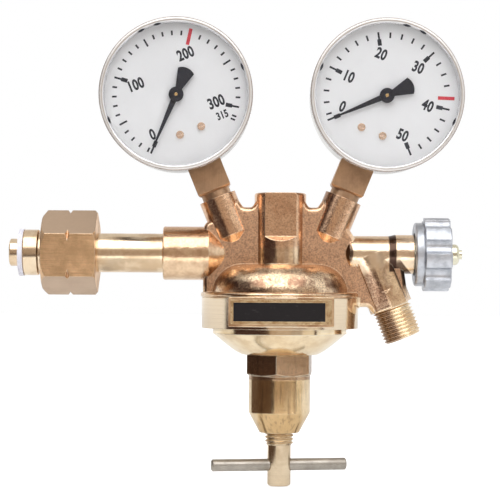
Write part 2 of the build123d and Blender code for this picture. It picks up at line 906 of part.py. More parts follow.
# Adjusting screw: nose, thread and drilled stem, and the bar pressed through it
bar_direction = (cos(radians(bar_turn)), sin(radians(bar_turn)), 0)
bar_plane = Plane(origin=(main_x, 0, bar_z), x_dir=(0, 0, 1), z_dir=bar_direction)
with BuildPart() as adjusting_screw:
    with BuildSketch(front):
        with BuildLine():
            Polyline(
                (0, screw_tip_z + screw_nose_length),
                (screw_nose_radius, screw_tip_z + screw_nose_length),
                (screw_nose_radius, screw_tip_z - running_gap),
                (screw_thread_radius - 1, screw_tip_z - running_gap),
                (screw_thread_radius, screw_tip_z - 1),
                (screw_thread_radius, screw_thread_end),
                (screw_stem_radius, screw_thread_end - 1),
                (screw_stem_radius, screw_end + small_edge),
                (screw_stem_radius - small_edge, screw_end),
                (0, screw_end),
                close=True,
            )
        make_face()
    revolve(axis=main_axis)
    with BuildSketch(bar_plane):
        Circle(bar_radius + still_gap)
    extrude(amount=screw_thread_radius, both=True, mode=Mode.SUBTRACT)
adjusting_screw.part.label = "adjusting_screw"
export_step(adjusting_screw.part, "parts/adjusting_screw.step")

with BuildPart() as tee_bar:
    with BuildSketch(bar_plane):
        Circle(bar_radius)
    extrude(amount=bar_length / 2, both=True)
    chamfer(tee_bar.edges().filter_by(GeomType.CIRCLE), bar_chamfer)
tee_bar.part.label = "tee_bar"
export_step(tee_bar.part, "parts/tee_bar.step")

# Outlet valve: a seat disc that swivels on the spindle, packed by a ring under the gland nut
disc_back = outlet_seat_x + disc_thickness
spindle_start = disc_back + running_gap
spindle_thread_end = spindle_start + spindle_thread_length
packing_end = packing_start + packing_length
with BuildPart() as valve_disc:
    with BuildSketch(Plane.YZ.offset(main_x + outlet_seat_x + running_gap)):
        Circle(disc_radius)
    extrude(amount=disc_thickness - running_gap)
    with BuildSketch(Plane.YZ.offset(main_x + disc_back)):
        Circle(disc_shank_radius)
    extrude(amount=disc_shank_length)
valve_disc.part.label = "valve_disc"
export_step(valve_disc.part, "parts/valve_disc.step")

with BuildPart() as valve_spindle:
    with BuildSketch(front):
        with BuildLine():
            Polyline(
                (spindle_start, disc_shank_radius + running_gap),
                (spindle_start, spindle_thread_radius),
                (spindle_thread_end, spindle_thread_radius),
                (spindle_thread_end, spindle_stem_radius),
                (wheel_seat, spindle_stem_radius),
                (wheel_seat, spindle_tail_radius),
                (spindle_end, spindle_tail_radius),
                (spindle_end, 0),
                (disc_back + disc_shank_length + free_gap, 0),
                (disc_back + disc_shank_length + free_gap, disc_shank_radius + running_gap),
                close=True,
            )
        make_face()
    revolve(axis=Axis.X)
valve_spindle.part.label = "valve_spindle"
export_step(valve_spindle.part, "parts/valve_spindle.step")

with BuildPart() as spindle_packing:
    with BuildSketch(Plane.YZ.offset(main_x + packing_start)):
        Circle(packing_radius - still_gap)
        Circle(spindle_stem_radius + running_gap, mode=Mode.SUBTRACT)
    extrude(amount=packing_length)
spindle_packing.part.label = "spindle_packing"
export_step(spindle_packing.part, "parts/spindle_packing.step")

with BuildPart() as gland_nut:
    with BuildSketch(Plane.YZ.offset(main_x + packing_end)):
        Circle(packing_radius - still_gap)
    extrude(amount=housing_end - packing_end)
    with BuildSketch(Plane.YZ.offset(main_x + housing_end)):
        RegularPolygon(gland_hex_across_flats / 2, 6, major_radius=False)
    extrude(amount=gland_hex_length)
    with BuildSketch(Plane.YZ.offset(main_x + packing_end)):
        Circle(spindle_stem_radius + running_gap)
    extrude(amount=housing_end - packing_end + gland_hex_length, mode=Mode.SUBTRACT)
gland_nut.part.label = "gland_nut"
export_step(gland_nut.part, "parts/gland_nut.step")

# Handwheel: a round flange and a grip with eight lobes, hollow on the side of the valve
with BuildPart() as handwheel:
    with BuildSketch(Plane.YZ.offset(main_x + wheel_start)):
        Circle(wheel_flange_radius)
    extrude(amount=wheel_flange_length)
    fillet(handwheel.edges().filter_by(GeomType.CIRCLE), wheel_edge)
    with BuildSketch(Plane.YZ.offset(main_x + wheel_start + wheel_flange_length)):
        Circle(wheel_grip_radius)
        with PolarLocations(
            wheel_grip_radius + wheel_groove_radius - wheel_groove_depth,
            wheel_lobes,
            start_angle=180 + wheel_first_groove,
        ):
            Circle(wheel_groove_radius, mode=Mode.SUBTRACT)
    extrude(amount=wheel_end - wheel_start - wheel_flange_length)
    fillet(handwheel.faces().sort_by(Axis.X)[-1].edges(), wheel_edge)
    with BuildSketch(Plane.YZ.offset(main_x + wheel_start)):
        Circle(wheel_recess_radius)
    extrude(amount=wheel_recess_length, mode=Mode.SUBTRACT)
    with BuildSketch(Plane.YZ.offset(main_x + wheel_start + wheel_recess_length)):
        Circle(spindle_tail_radius + still_gap)
    extrude(amount=wheel_end, mode=Mode.SUBTRACT)
handwheel.part.label = "handwheel"
export_step(handwheel.part, "parts/handwheel.step")

with BuildPart() as handwheel_nut:
    with BuildSketch(Plane.YZ.offset(main_x + wheel_end)):
        Circle(wheel_nut_radius)
    extrude(amount=wheel_nut_length)
    fillet(handwheel_nut.edges().sort_by(Axis.X)[-1], wheel_nut_round)
    with BuildSketch(Plane.YZ.offset(main_x + wheel_end)):
        Circle(spindle_tail_radius + still_gap)
    extrude(amount=wheel_nut_length, mode=Mode.SUBTRACT)
handwheel_nut.part.label = "handwheel_nut"
export_step(handwheel_nut.part, "parts/handwheel_nut.step")


def turned(plane, angle):
    """The same plane turned clockwise, as the viewer sees it, by an angle in degrees."""
    turned_x = plane.x_dir * cos(radians(angle)) - plane.y_dir * sin(radians(angle))
    return Plane(origin=plane.origin, x_dir=turned_x, z_dir=plane.z_dir)


def polar_point(radius, angle):
    """A point at a radius and an angle anticlockwise from the sketch's X axis."""
    return Vector(radius * cos(radians(angle)), radius * sin(radians(angle)))


def gear_teeth(pitch_radius, count, first_angle, pitch_angle):
    """Straight-sided teeth pointing outwards, their foot sunk a little into the gear's body."""
    foot = pitch_radius - tooth_root * gear_module - tooth_foot
    height = tooth_foot + (tooth_root + tooth_tip) * gear_module
    with PolarLocations(foot, count, start_angle=first_angle, angular_range=count * pitch_angle):
        Polygon(
            (0, -tooth_foot_half),
            (height, -tooth_tip_half),
            (height, tooth_tip_half),
            (0, tooth_foot_half),
            align=None,
        )


def build_gauge(name, side, port_plane):
    """A tube gauge: the pieces lie in the dial's plane, which leans as its port does."""
    lean_x = side * sin(radians(port_tilt))
    lean_z = cos(radians(port_tilt))
    centre = (
        main_x + side * port_top_offset + gauge_distance * lean_x,
        0,
        port_top_z + gauge_distance * lean_z,
    )
    dial_plane = Plane(origin=centre, x_dir=(lean_z, 0, -lean_x), z_dir=(0, -1, 0))
    dial_axis = Axis(centre, (0, 1, 0))

    with BuildPart() as case:
        with BuildSketch(dial_plane.offset(case_back)):
            Circle(case_radius)
        extrude(amount=case_front - case_back)
        fillet(case.edges().sort_by(Axis.Y)[-1], case_back_round)
        with BuildSketch(dial_plane.offset(case_front - case_lip_height)):
            Circle(case_lip_radius)
        extrude(amount=case_lip_height)
        with BuildSketch(dial_plane.offset(case_back + case_wall)):
            Circle(case_radius - case_wall)
        extrude(amount=case_front - case_back, mode=Mode.SUBTRACT)
        with BuildSketch(dial_plane.offset(-block_inner_depth / 2 - still_gap)):
            with Locations((0, -case_radius)):
                Rectangle(block_inner_width + 2 * still_gap, 4 * case_wall)
        extrude(amount=block_inner_depth + 2 * still_gap, mode=Mode.SUBTRACT)
        with BuildSketch(dial_plane.offset(case_back)):
            with Locations((0, relief_height)):
                Circle(relief_radius)
        extrude(amount=case_wall, mode=Mode.SUBTRACT)
    case.part.label = f"{name}_case"
    export_step(case.part, f"parts/{name}_case.step")

    with BuildPart() as relief_plug:
        with BuildSketch(dial_plane.offset(case_back)):
            with Locations((0, relief_height)):
                Circle(relief_radius - still_gap)
        extrude(amount=case_wall)
        with BuildSketch(dial_plane.offset(case_back + case_wall)):
            with Locations((0, relief_height)):
                Circle(relief_radius + relief_flange)
        extrude(amount=relief_flange)
    relief_plug.part.label = f"{name}_relief_plug"
    export_step(relief_plug.part, f"parts/{name}_relief_plug.step")

    # Clear window with its stepped rim over the case and a spigot inside it
    with BuildPart() as window:
        with BuildSketch(dial_plane.offset(case_front)):
            Circle(case_lip_radius)
            Circle(window_rim_inner, mode=Mode.SUBTRACT)
        extrude(amount=window_front - case_front)
        fillet(window.edges().sort_by(Axis.Y)[0:2], window_round)
        with BuildSketch(dial_plane.offset(window_front - window_step - window_thickness)):
            Circle(window_rim_inner + case_wall / 2)
        extrude(amount=window_thickness)
        with BuildSketch(dial_plane.offset(case_front)):
            Circle(case_radius - case_wall - still_gap)
            Circle(window_rim_inner, mode=Mode.SUBTRACT)
        extrude(amount=-window_spigot_depth)
    window.part.label = f"{name}_window"
    export_step(window.part, f"parts/{name}_window.step")

    with BuildPart() as dial:
        with BuildSketch(dial_plane.offset(dial_front - dial_thickness)):
            Circle(dial_radius)
            Circle(arbor_radius + free_gap, mode=Mode.SUBTRACT)
            with Locations((-dial_screw_x, dial_screw_y), (dial_screw_x, dial_screw_y)):
                Circle(dial_screw_shank + still_gap, mode=Mode.SUBTRACT)
        extrude(amount=dial_thickness)
    dial.part.label = f"{name}_dial"
    export_step(dial.part, f"parts/{name}_dial.step")

    with BuildPart() as dial_screws:
        with BuildSketch(dial_plane.offset(dial_front)):
            with Locations((-dial_screw_x, dial_screw_y), (dial_screw_x, dial_screw_y)):
                Circle(dial_screw_radius)
        extrude(amount=dial_screw_head)
        with BuildSketch(dial_plane.offset(frame_front - frame_plate)):
            with Locations((-dial_screw_x, dial_screw_y), (dial_screw_x, dial_screw_y)):
                Circle(dial_screw_shank)
        extrude(amount=dial_front - frame_front + frame_plate)
        with BuildSketch(dial_plane.offset(dial_front + dial_screw_head)):
            with Locations((-dial_screw_x, dial_screw_y), (dial_screw_x, dial_screw_y)):
                Rectangle(2 * dial_screw_radius, dial_screw_slot)
        extrude(amount=-dial_screw_head / 2, mode=Mode.SUBTRACT)
    dial_screws.part.label = f"{name}_dial_screws"
    export_step(dial_screws.part, f"parts/{name}_dial_screws.step")

    # Pointer at rest on zero, with a flared tail
    pointer_plane = turned(dial_plane, rest_angle)
    with BuildPart() as pointer:
        with BuildSketch(pointer_plane.offset(hub_back + (hub_thickness - needle_thickness) / 2)):
            with BuildLine():
                Polyline(
                    (-tail_end_width / 2, tail_arc - tail_length),
                    (-tail_root_width / 2, -hub_radius),
                    (-needle_root_width / 2, hub_radius),
                    (-needle_tip_width / 2, needle_length),
                    (needle_tip_width / 2, needle_length),
                    (needle_root_width / 2, hub_radius),
                    (tail_root_width / 2, -hub_radius),
                    (tail_end_width / 2, tail_arc - tail_length),
                )
                ThreePointArc(
                    (tail_end_width / 2, tail_arc - tail_length),
                    (0, -tail_length),
                    (-tail_end_width / 2, tail_arc - tail_length),
                )
            make_face()
        extrude(amount=needle_thickness)
        with BuildSketch(pointer_plane.offset(hub_back)):
            Circle(hub_radius)
        extrude(amount=hub_thickness)
        with BuildSketch(pointer_plane.offset(hub_back)):
            Circle(arbor_radius + still_gap)
        extrude(amount=hub_thickness, mode=Mode.SUBTRACT)
    pointer.part.label = f"{name}_pointer"
    export_step(pointer.part, f"parts/{name}_pointer.step")

    # Pinion and its arbor, one tooth pointing down at the sector
    with BuildPart() as pinion:
        with BuildSketch(dial_plane.offset(frame_back)):
            Circle(arbor_radius)
        extrude(amount=hub_back + hub_thickness - frame_back)
        with BuildSketch(dial_plane.offset(gear_front - gear_thickness - free_gap)):
            Circle(pinion_pitch_radius - tooth_root * gear_module)
            gear_teeth(pinion_pitch_radius, pinion_teeth, -90, 360 / pinion_teeth)
        extrude(amount=gear_thickness + 2 * free_gap)
    pinion.part.label = f"{name}_pinion"
    export_step(pinion.part, f"parts/{name}_pinion.step")

    # Sector gear on its own arbor below the pinion, with a tail for the link
    sector_pitch = 360 / sector_full_teeth
    sector_first = 90 - (sector_teeth - sector_lead_teeth - 0.5) * sector_pitch
    sector_plane = Plane(
        origin=dial_plane.from_local_coords((0, -centre_distance, 0)),
        x_dir=dial_plane.x_dir,
        z_dir=dial_plane.z_dir,
    )
    rim_radius = sector_pitch_radius - tooth_root * gear_module
    fan_low = sector_first - sector_pitch / 2
    fan_high = fan_low + sector_teeth * sector_pitch
    with BuildPart() as sector_gear:
        with BuildSketch(sector_plane.offset(gear_front - gear_thickness)):
            with BuildLine():
                Line((0, 0), polar_point(rim_radius, fan_low))
                ThreePointArc(
                    polar_point(rim_radius, fan_low),
                    polar_point(rim_radius, (fan_low + fan_high) / 2),
                    polar_point(rim_radius, fan_high),
                )
                Line(polar_point(rim_radius, fan_high), (0, 0))
            make_face()
            gear_teeth(sector_pitch_radius, sector_teeth, sector_first, sector_pitch)
            with BuildLine():
                Line(
                    polar_point(sector_hub_radius + sector_rib, fan_low + sector_rib_angle),
                    polar_point(rim_radius - sector_rib, fan_low + sector_rib_angle / 2),
                )
                ThreePointArc(
                    polar_point(rim_radius - sector_rib, fan_low + sector_rib_angle / 2),
                    polar_point(rim_radius - sector_rib, (fan_low + fan_high) / 2),
                    polar_point(rim_radius - sector_rib, fan_high - sector_rib_angle / 2),
                )
                Line(
                    polar_point(rim_radius - sector_rib, fan_high - sector_rib_angle / 2),
                    polar_point(sector_hub_radius + sector_rib, fan_high - sector_rib_angle),
                )
                Line(
                    polar_point(sector_hub_radius + sector_rib, fan_high - sector_rib_angle),
                    polar_point(sector_hub_radius + sector_rib, fan_low + sector_rib_angle),
                )
            make_face(mode=Mode.SUBTRACT)
            Circle(sector_hub_radius)
            with Locations(Location((0, 0, 0), (0, 0, sector_tail_angle))):
                with Locations((sector_tail_length / 2, 0)):
                    SlotCenterToCenter(sector_tail_length, link_width)
                with Locations((sector_tail_length, 0)):
                    Circle(link_pin_radius, mode=Mode.SUBTRACT)
        extrude(amount=gear_thickness)
        with BuildSketch(sector_plane.offset(frame_back)):
            Circle(arbor_radius)
        extrude(amount=frame_front - frame_back)
    sector_gear.part.label = f"{name}_sector_gear"
    export_step(sector_gear.part, f"parts/{name}_sector_gear.step")

    # Movement frame: two plates riveted to four pillars, bored for both arbors
    with BuildPart() as movement_frame:
        for plate_back in (frame_back, frame_front - frame_plate):
            with BuildSketch(dial_plane.offset(plate_back)):
                with Locations((0, (frame_top + frame_bottom) / 2)):
                    RectangleRounded(2 * frame_half_width, frame_top - frame_bottom, 2 * pillar_radius)
                Circle(arbor_radius + running_gap, mode=Mode.SUBTRACT)
                with Locations((0, -centre_distance)):
                    Circle(arbor_radius + running_gap, mode=Mode.SUBTRACT)
            extrude(amount=frame_plate)
        with BuildSketch(dial_plane.offset(frame_back)):
            with Locations((0, (frame_top + frame_bottom) / 2)):
                with GridLocations(
                    2 * (frame_half_width - pillar_inset),
                    frame_top - frame_bottom - 2 * pillar_inset,
                    2,
                    2,
                ):
                    Circle(pillar_radius)
        extrude(amount=frame_front - frame_back)
        with BuildSketch(dial_plane.offset(frame_front)):
            with Locations((-dial_screw_x, dial_screw_y), (dial_screw_x, dial_screw_y)):
                Circle(dial_screw_shank + still_gap)
        extrude(amount=-frame_plate, mode=Mode.SUBTRACT)
    movement_frame.part.label = f"{name}_movement_frame"
    export_step(movement_frame.part, f"parts/{name}_movement_frame.step")

    # Bourdon tube: a flattened tube bent round the dial axis, closed by a tip piece with a pin
    root_plane = turned(dial_plane, 180 + tube_start)
    tip_plane = turned(dial_plane, 180 + tube_start + tube_sweep)
    with BuildPart() as bourdon_tube:
        with BuildSketch(Plane(origin=centre, x_dir=root_plane.y_dir, z_dir=root_plane.x_dir)):
            with Locations((tube_radius, 0)):
                RectangleRounded(tube_width, tube_depth, tube_width / 2 - still_gap)
                RectangleRounded(
                    tube_width - 2 * tube_wall,
                    tube_depth - 2 * tube_wall,
                    tube_width / 2 - tube_wall - still_gap,
                    mode=Mode.SUBTRACT,
                )
        revolve(axis=dial_axis, revolution_arc=tube_sweep)
        with BuildSketch(tip_plane.offset(-tube_depth / 2 - tube_wall)):
            with Locations((tip_length / 2, tube_radius)):
                Rectangle(tip_length, tube_width + 2 * tube_wall)
        extrude(amount=tube_depth + 2 * tube_wall)
        with BuildSketch(tip_plane):
            with Locations((tip_length / 2, tube_radius)):
                Circle(link_pin_radius)
        extrude(amount=gear_front + free_gap + link_thickness)
    bourdon_tube.part.label = f"{name}_bourdon_tube"
    export_step(bourdon_tube.part, f"parts/{name}_bourdon_tube.step")

    # Link from the tube's pin to the tail of the sector
    tip_point = dial_plane.to_local_coords(
        tip_plane.from_local_coords((tip_length / 2, tube_radius, 0))
    )
    tail_point = Vector(0, -centre_distance) + polar_point(sector_tail_length, sector_tail_angle)
    with BuildPart() as tip_link:
        with BuildSketch(dial_plane.offset(gear_front + free_gap)):
            SlotCenterPoint(
                ((tip_point.X + tail_point.X) / 2, (tip_point.Y + tail_point.Y) / 2),
                (tip_point.X, tip_point.Y),
                link_width,
            )
            with Locations((tip_point.X, tip_point.Y)):
                Circle(link_pin_radius + running_gap, mode=Mode.SUBTRACT)
            with Locations((tail_point.X, tail_point.Y)):
                Circle(link_pin_radius, mode=Mode.SUBTRACT)
        extrude(amount=link_thickness)
    tip_link.part.label = f"{name}_tip_link"
    export_step(tip_link.part, f"parts/{name}_tip_link.step")

    # Stem block: square outside the case, narrower inside, with its neck and thread below
    with BuildPart() as stem_block:
        with BuildSketch(dial_plane.offset(-block_width / 2)):
            with Locations((0, -(block_end + case_radius) / 2)):
                Rectangle(block_width, block_end - case_radius + 2 * case_wall)
        extrude(amount=block_width)
        chamfer(stem_block.edges().group_by(Axis(centre, dial_plane.y_dir))[0], block_chamfer)
        with BuildSketch(dial_plane.offset(-block_width)):
            Circle(case_radius + still_gap)
        extrude(amount=2 * block_width, mode=Mode.SUBTRACT)
        with BuildSketch(dial_plane.offset(-block_inner_depth / 2)):
            with Locations((0, (block_top - block_end) / 2)):
                Rectangle(block_inner_width, block_end + block_top)
        extrude(amount=block_inner_depth)
        with BuildSketch(port_plane):
            Circle(neck_radius)
        extrude(amount=gauge_distance - block_end)
        with BuildSketch(port_plane):
            Circle(port_thread_radius - still_gap)
        extrude(amount=-port_thread_depth)
        with BuildSketch(port_plane.offset(-port_thread_depth)):
            Circle(passage_radius)
        extrude(amount=gauge_distance - tube_radius + port_thread_depth, mode=Mode.SUBTRACT)
        add(bourdon_tube.part, mode=Mode.SUBTRACT)
    stem_block.part.label = f"{name}_stem_block"
    export_step(stem_block.part, f"parts/{name}_stem_block.step")


build_gauge("inlet_gauge", -1, port_planes[0])
build_gauge("outlet_gauge", 1, port_planes[1])
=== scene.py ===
# Forming gas regulator: brass body, two round gauges, outlet valve with handwheel, bonnet with tee bar.
# The solids give the shapes; this script adds dial printing, two threads, small rings and marks, copies of
# inner parts, every finish, the light and the camera.
import json
import math

import bmesh
import bpy
import numpy as np
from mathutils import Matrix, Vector


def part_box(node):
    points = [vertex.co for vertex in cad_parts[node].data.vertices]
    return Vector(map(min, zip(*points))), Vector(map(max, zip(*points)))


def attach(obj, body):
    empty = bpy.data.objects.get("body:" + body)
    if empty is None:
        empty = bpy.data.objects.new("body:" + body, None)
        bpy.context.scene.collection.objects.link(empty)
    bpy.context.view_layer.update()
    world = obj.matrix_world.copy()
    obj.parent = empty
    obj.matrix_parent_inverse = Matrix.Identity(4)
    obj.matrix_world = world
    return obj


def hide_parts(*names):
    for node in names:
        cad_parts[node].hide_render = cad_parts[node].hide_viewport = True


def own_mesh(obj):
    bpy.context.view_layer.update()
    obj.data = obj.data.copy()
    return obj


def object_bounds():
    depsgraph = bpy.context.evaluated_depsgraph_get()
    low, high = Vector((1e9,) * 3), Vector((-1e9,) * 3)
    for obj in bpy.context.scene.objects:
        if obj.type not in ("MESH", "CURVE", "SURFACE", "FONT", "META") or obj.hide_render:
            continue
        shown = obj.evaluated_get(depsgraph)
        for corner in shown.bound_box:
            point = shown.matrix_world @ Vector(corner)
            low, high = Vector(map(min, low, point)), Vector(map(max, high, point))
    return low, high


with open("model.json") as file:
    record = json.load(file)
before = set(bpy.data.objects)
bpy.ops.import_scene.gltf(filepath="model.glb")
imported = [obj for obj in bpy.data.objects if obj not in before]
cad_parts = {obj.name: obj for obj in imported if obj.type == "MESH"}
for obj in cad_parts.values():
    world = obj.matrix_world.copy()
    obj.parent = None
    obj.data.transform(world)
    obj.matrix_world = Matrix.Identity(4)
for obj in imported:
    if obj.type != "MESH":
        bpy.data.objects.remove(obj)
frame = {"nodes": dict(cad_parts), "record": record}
nodes = frame["nodes"]
cadLow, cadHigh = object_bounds()
millimetre = 0.001
print("frame loaded:", len(nodes), "nodes")


# One shader socket that reads like a number: an operator on it adds the Math node that does the sum.
class Signal:
    def __init__(self, tree, socket=None):
        self.tree = tree
        self.socket = socket

    # Adds any node: settings first, then a value or a link for each input; output picks the socket it is.
    def add(self, kind, settings=None, inputs=None, output=0):
        made = self.tree.nodes.new("ShaderNode" + kind)
        for word, value in (settings or {}).items():
            if word == "stops":
                ramp = made.color_ramp
                ramp.elements[0].position = value[0][0]
                ramp.elements[1].position = value[-1][0]
                for place, colour in value[1:-1]:
                    ramp.elements.new(place)
                for element, (place, colour) in zip(ramp.elements, value):
                    element.color = (*colour, 1)
            else:
                setattr(made, word, value)
        for word, value in (inputs or {}).items():
            if isinstance(value, Signal):
                self.tree.links.new(value.socket, made.inputs[word])
            else:
                made.inputs[word].default_value = value
        return Signal(self.tree, made.outputs[output])

    def sums(self, operation, first, second=0.0):
        return self.add("Math", {"operation": operation}, {0: first, 1: second})

    def __add__(self, other):
        return self.sums("ADD", self, other)

    def __sub__(self, other):
        return self.sums("SUBTRACT", self, other)

    def __rsub__(self, other):
        return self.sums("SUBTRACT", other, self)

    def __mul__(self, other):
        return self.sums("MULTIPLY", self, other)

    def __truediv__(self, other):
        return self.sums("DIVIDE", self, other)

    def __rtruediv__(self, other):
        return self.sums("DIVIDE", other, self)

    def __pow__(self, other):
        return self.sums("POWER", self, other)

    def __abs__(self):
        return self.sums("ABSOLUTE", self)

    __radd__ = __add__
    __rmul__ = __mul__

    # Smooth step: 0 at low, 1 at high, also where low is the larger.
    def step(self, low, high):
        return self.add("MapRange", {"interpolation_type": "SMOOTHSTEP"},
                        {"Value": self, "From Min": low, "From Max": high})

    # Straight change of range, clamped at both ends.
    def span(self, low, high, first, last):
        return self.add("MapRange", {}, {"Value": self, "From Min": low, "From Max": high,
                                         "To Min": first, "To Max": last})

    # Colour between two colours, this signal being the share of the second.
    def tint(self, first, second):
        return self.add("Mix", {"data_type": "RGBA"}, {0: self, 6: asColour(first), 7: asColour(second)}, 2)

    def vector(self, operation, other, output=0):
        return self.add("VectorMath", {"operation": operation}, {0: self, 1: other}, output)

    def scaled(self, factor):
        return self.add("VectorMath", {"operation": "SCALE"}, {0: self, "Scale": factor})

    # The three parts of a vector: x, y and z.
    def axes(self):
        split = self.add("SeparateXYZ", {}, {0: self}).socket.node
        return [Signal(self.tree, part) for part in split.outputs]

    def noise(self, scale, detail=3.0, rough=0.55):
        inputs = {"Vector": self, "Scale": scale, "Detail": detail, "Roughness": rough}
        return self.add("TexNoise", {}, inputs)

    # Fine height in the surface, on top of the normal given.
    def bump(self, strength, distance, normal=None):
        inputs = {"Strength": strength, "Distance": distance, "Height": self}
        if normal:
            inputs["Normal"] = normal
        return self.add("Bump", {}, inputs)


def asColour(value):
    return value if isinstance(value, Signal) else (*value[:3], 1.0)


# A new material with its Principled shader; the signal returned reads Object coordinates in millimetres.
def newFinish(name):
    material = bpy.data.materials.new(name)
    material.use_nodes = True
    tree = material.node_tree
    shader = tree.nodes["Principled BSDF"]
    place = Signal(tree).add("TexCoord", {}, {}, 3).scaled(1 / millimetre)
    return material, shader, place


socketNames = {"colour": "Base Color", "metal": "Metallic", "rough": "Roughness", "normal": "Normal",
               "clear": "Transmission Weight", "ior": "IOR", "gloss": "Specular IOR Level"}


def plug(shader, **values):
    tree = shader.id_data
    for word, value in values.items():
        socket = shader.inputs[socketNames[word]]
        if isinstance(value, Signal):
            tree.links.new(value.socket, socket)
        else:
            socket.default_value = (*value, 1.0) if isinstance(value, tuple) else value


# Makes the signal what the material shows on its surface.
def showAs(material, signal):
    tree = material.node_tree
    tree.links.new(signal.socket, tree.nodes["Material Output"].inputs["Surface"])


# One kind of ray, read from Light Path: 1 for such rays and 0 for others.
def rayIs(start, kind):
    path = start.add("LightPath").socket.node
    return Signal(start.tree, path.outputs["Is " + kind + " Ray"])


# Sizes read off the solids, millimetres and degrees
layout = {
    "mainX": 106.7,
    "gaugeAside": 42.5,
    "gaugeCentreZ": 63.82,
    "gaugeTilt": 22.2,
    "outletStart": (143.6, 0.0, 0.0),
    "outletTilt": 22.0,
}
outletLean = math.radians(layout["outletTilt"])
outletAxis = (math.sin(outletLean), 0.0, -math.cos(outletLean))
outletAside = (-outletAxis[2], 0.0, outletAxis[0])
gauges = {"inlet_gauge": -1, "outlet_gauge": 1}  # the side each stands on


def gaugeUp(name):
    lean = math.radians(layout["gaugeTilt"]) * gauges[name]
    return (math.sin(lean), 0.0, math.cos(lean))


# Grid surface: point (i, j) of the array joins (i+1, j), (i+1, j+1) and (i, j+1); rows or columns may wrap.
def gridMesh(name, points, wrapRows=False, wrapColumns=False):
    rows, columns = points.shape[:2]
    row = np.arange(rows if wrapRows else rows - 1)[:, None]
    column = np.arange(columns if wrapColumns else columns - 1)[None, :]
    below = (row + 1) % rows
    after = (column + 1) % columns
    here = row * columns
    there = below * columns
    quads = np.stack([here + column, there + column, there + after, here + after], axis=-1).reshape(-1, 4)
    mesh = bpy.data.meshes.new(name)
    mesh.from_pydata((points.reshape(-1, 3) * millimetre).tolist(), [], quads.tolist())
    return mesh


# Joins meshes into one closed object: doubles merged, thin faces dropped, faces turned outwards.
def makePiece(name, meshes, material, body, smoothAngle=None):
    joined = bmesh.new()
    for mesh in meshes:
        joined.from_mesh(mesh)
        bpy.data.meshes.remove(mesh)
    bmesh.ops.remove_doubles(joined, verts=joined.verts, dist=1e-7)
    bmesh.ops.dissolve_degenerate(joined, edges=joined.edges, dist=1e-8)
    bmesh.ops.recalc_face_normals(joined, faces=joined.faces)
    mesh = bpy.data.meshes.new(name)
    joined.to_mesh(mesh)
    joined.free()
    if "custom_normal" in mesh.attributes:
        mesh.attributes.remove(mesh.attributes["custom_normal"])
    if smoothAngle:
        mesh.polygons.foreach_set("use_smooth", np.ones(len(mesh.polygons), dtype=bool))
        mesh.set_sharp_from_angle(angle=math.radians(smoothAngle))
    piece = bpy.data.objects.new(name, mesh)
    bpy.context.scene.collection.objects.link(piece)
    mesh.materials.append(material)
    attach(piece, body)
    return piece


# Dial place: across·u + up·v from the gauge centre, and forward·w towards the viewer.
def onDial(name, flat):
    up = np.array(gaugeUp(name))
    across = np.array((up[2], 0.0, -up[0]))
    forward = np.array((0.0, -1.0, 0.0))
    centreX = layout["mainX"] + gauges[name] * layout["gaugeAside"]
    centre = np.array((centreX, 0.0, layout["gaugeCentreZ"]))
    return centre + flat[..., :1] * across + flat[..., 1:2] * up + flat[..., 2:] * forward


threadFlank = {"steep": 1.35, "floor": 0.2}  # slope of the ridge, and how much of the pitch its root takes


# Thread: radius = root + height × trapezoid(distance/pitch − turn), run out smoothly at both ends;
# the point is centre + along·direction + radius·(cos turn, sin turn) in the plane across the direction.
def threadPoints(spec, stations, limit):
    direction = np.array(spec["direction"]) / np.linalg.norm(spec["direction"])
    side = np.cross(direction, (0.0, 1.0, 0.0))
    side = side / np.linalg.norm(side)
    other = np.cross(direction, side)
    turn = np.linspace(0.0, 2 * np.pi, spec["segments"], endpoint=False)[None, :]
    along = stations[:, None]
    phase = (along / spec["pitch"] - spec["hand"] * turn / (2 * np.pi)) % 1.0
    ridge = np.clip((1.0 - np.abs(2.0 * phase - 1.0)) * threadFlank["steep"] - threadFlank["floor"], 0.0, 1.0)
    starting = np.clip((along - spec["start"]) / spec["runOut"], 0, 1)
    ending = np.clip((spec["end"] - along) / spec["runOut"], 0, 1)
    radius = np.minimum(spec["root"] + spec["height"] * ridge * (starting * ending), limit[:, None])
    around = np.cos(turn)[..., None] * side + np.sin(turn)[..., None] * other
    return np.array(spec["origin"]) + along[..., None] * direction + radius[..., None] * around


print("helpers ready")

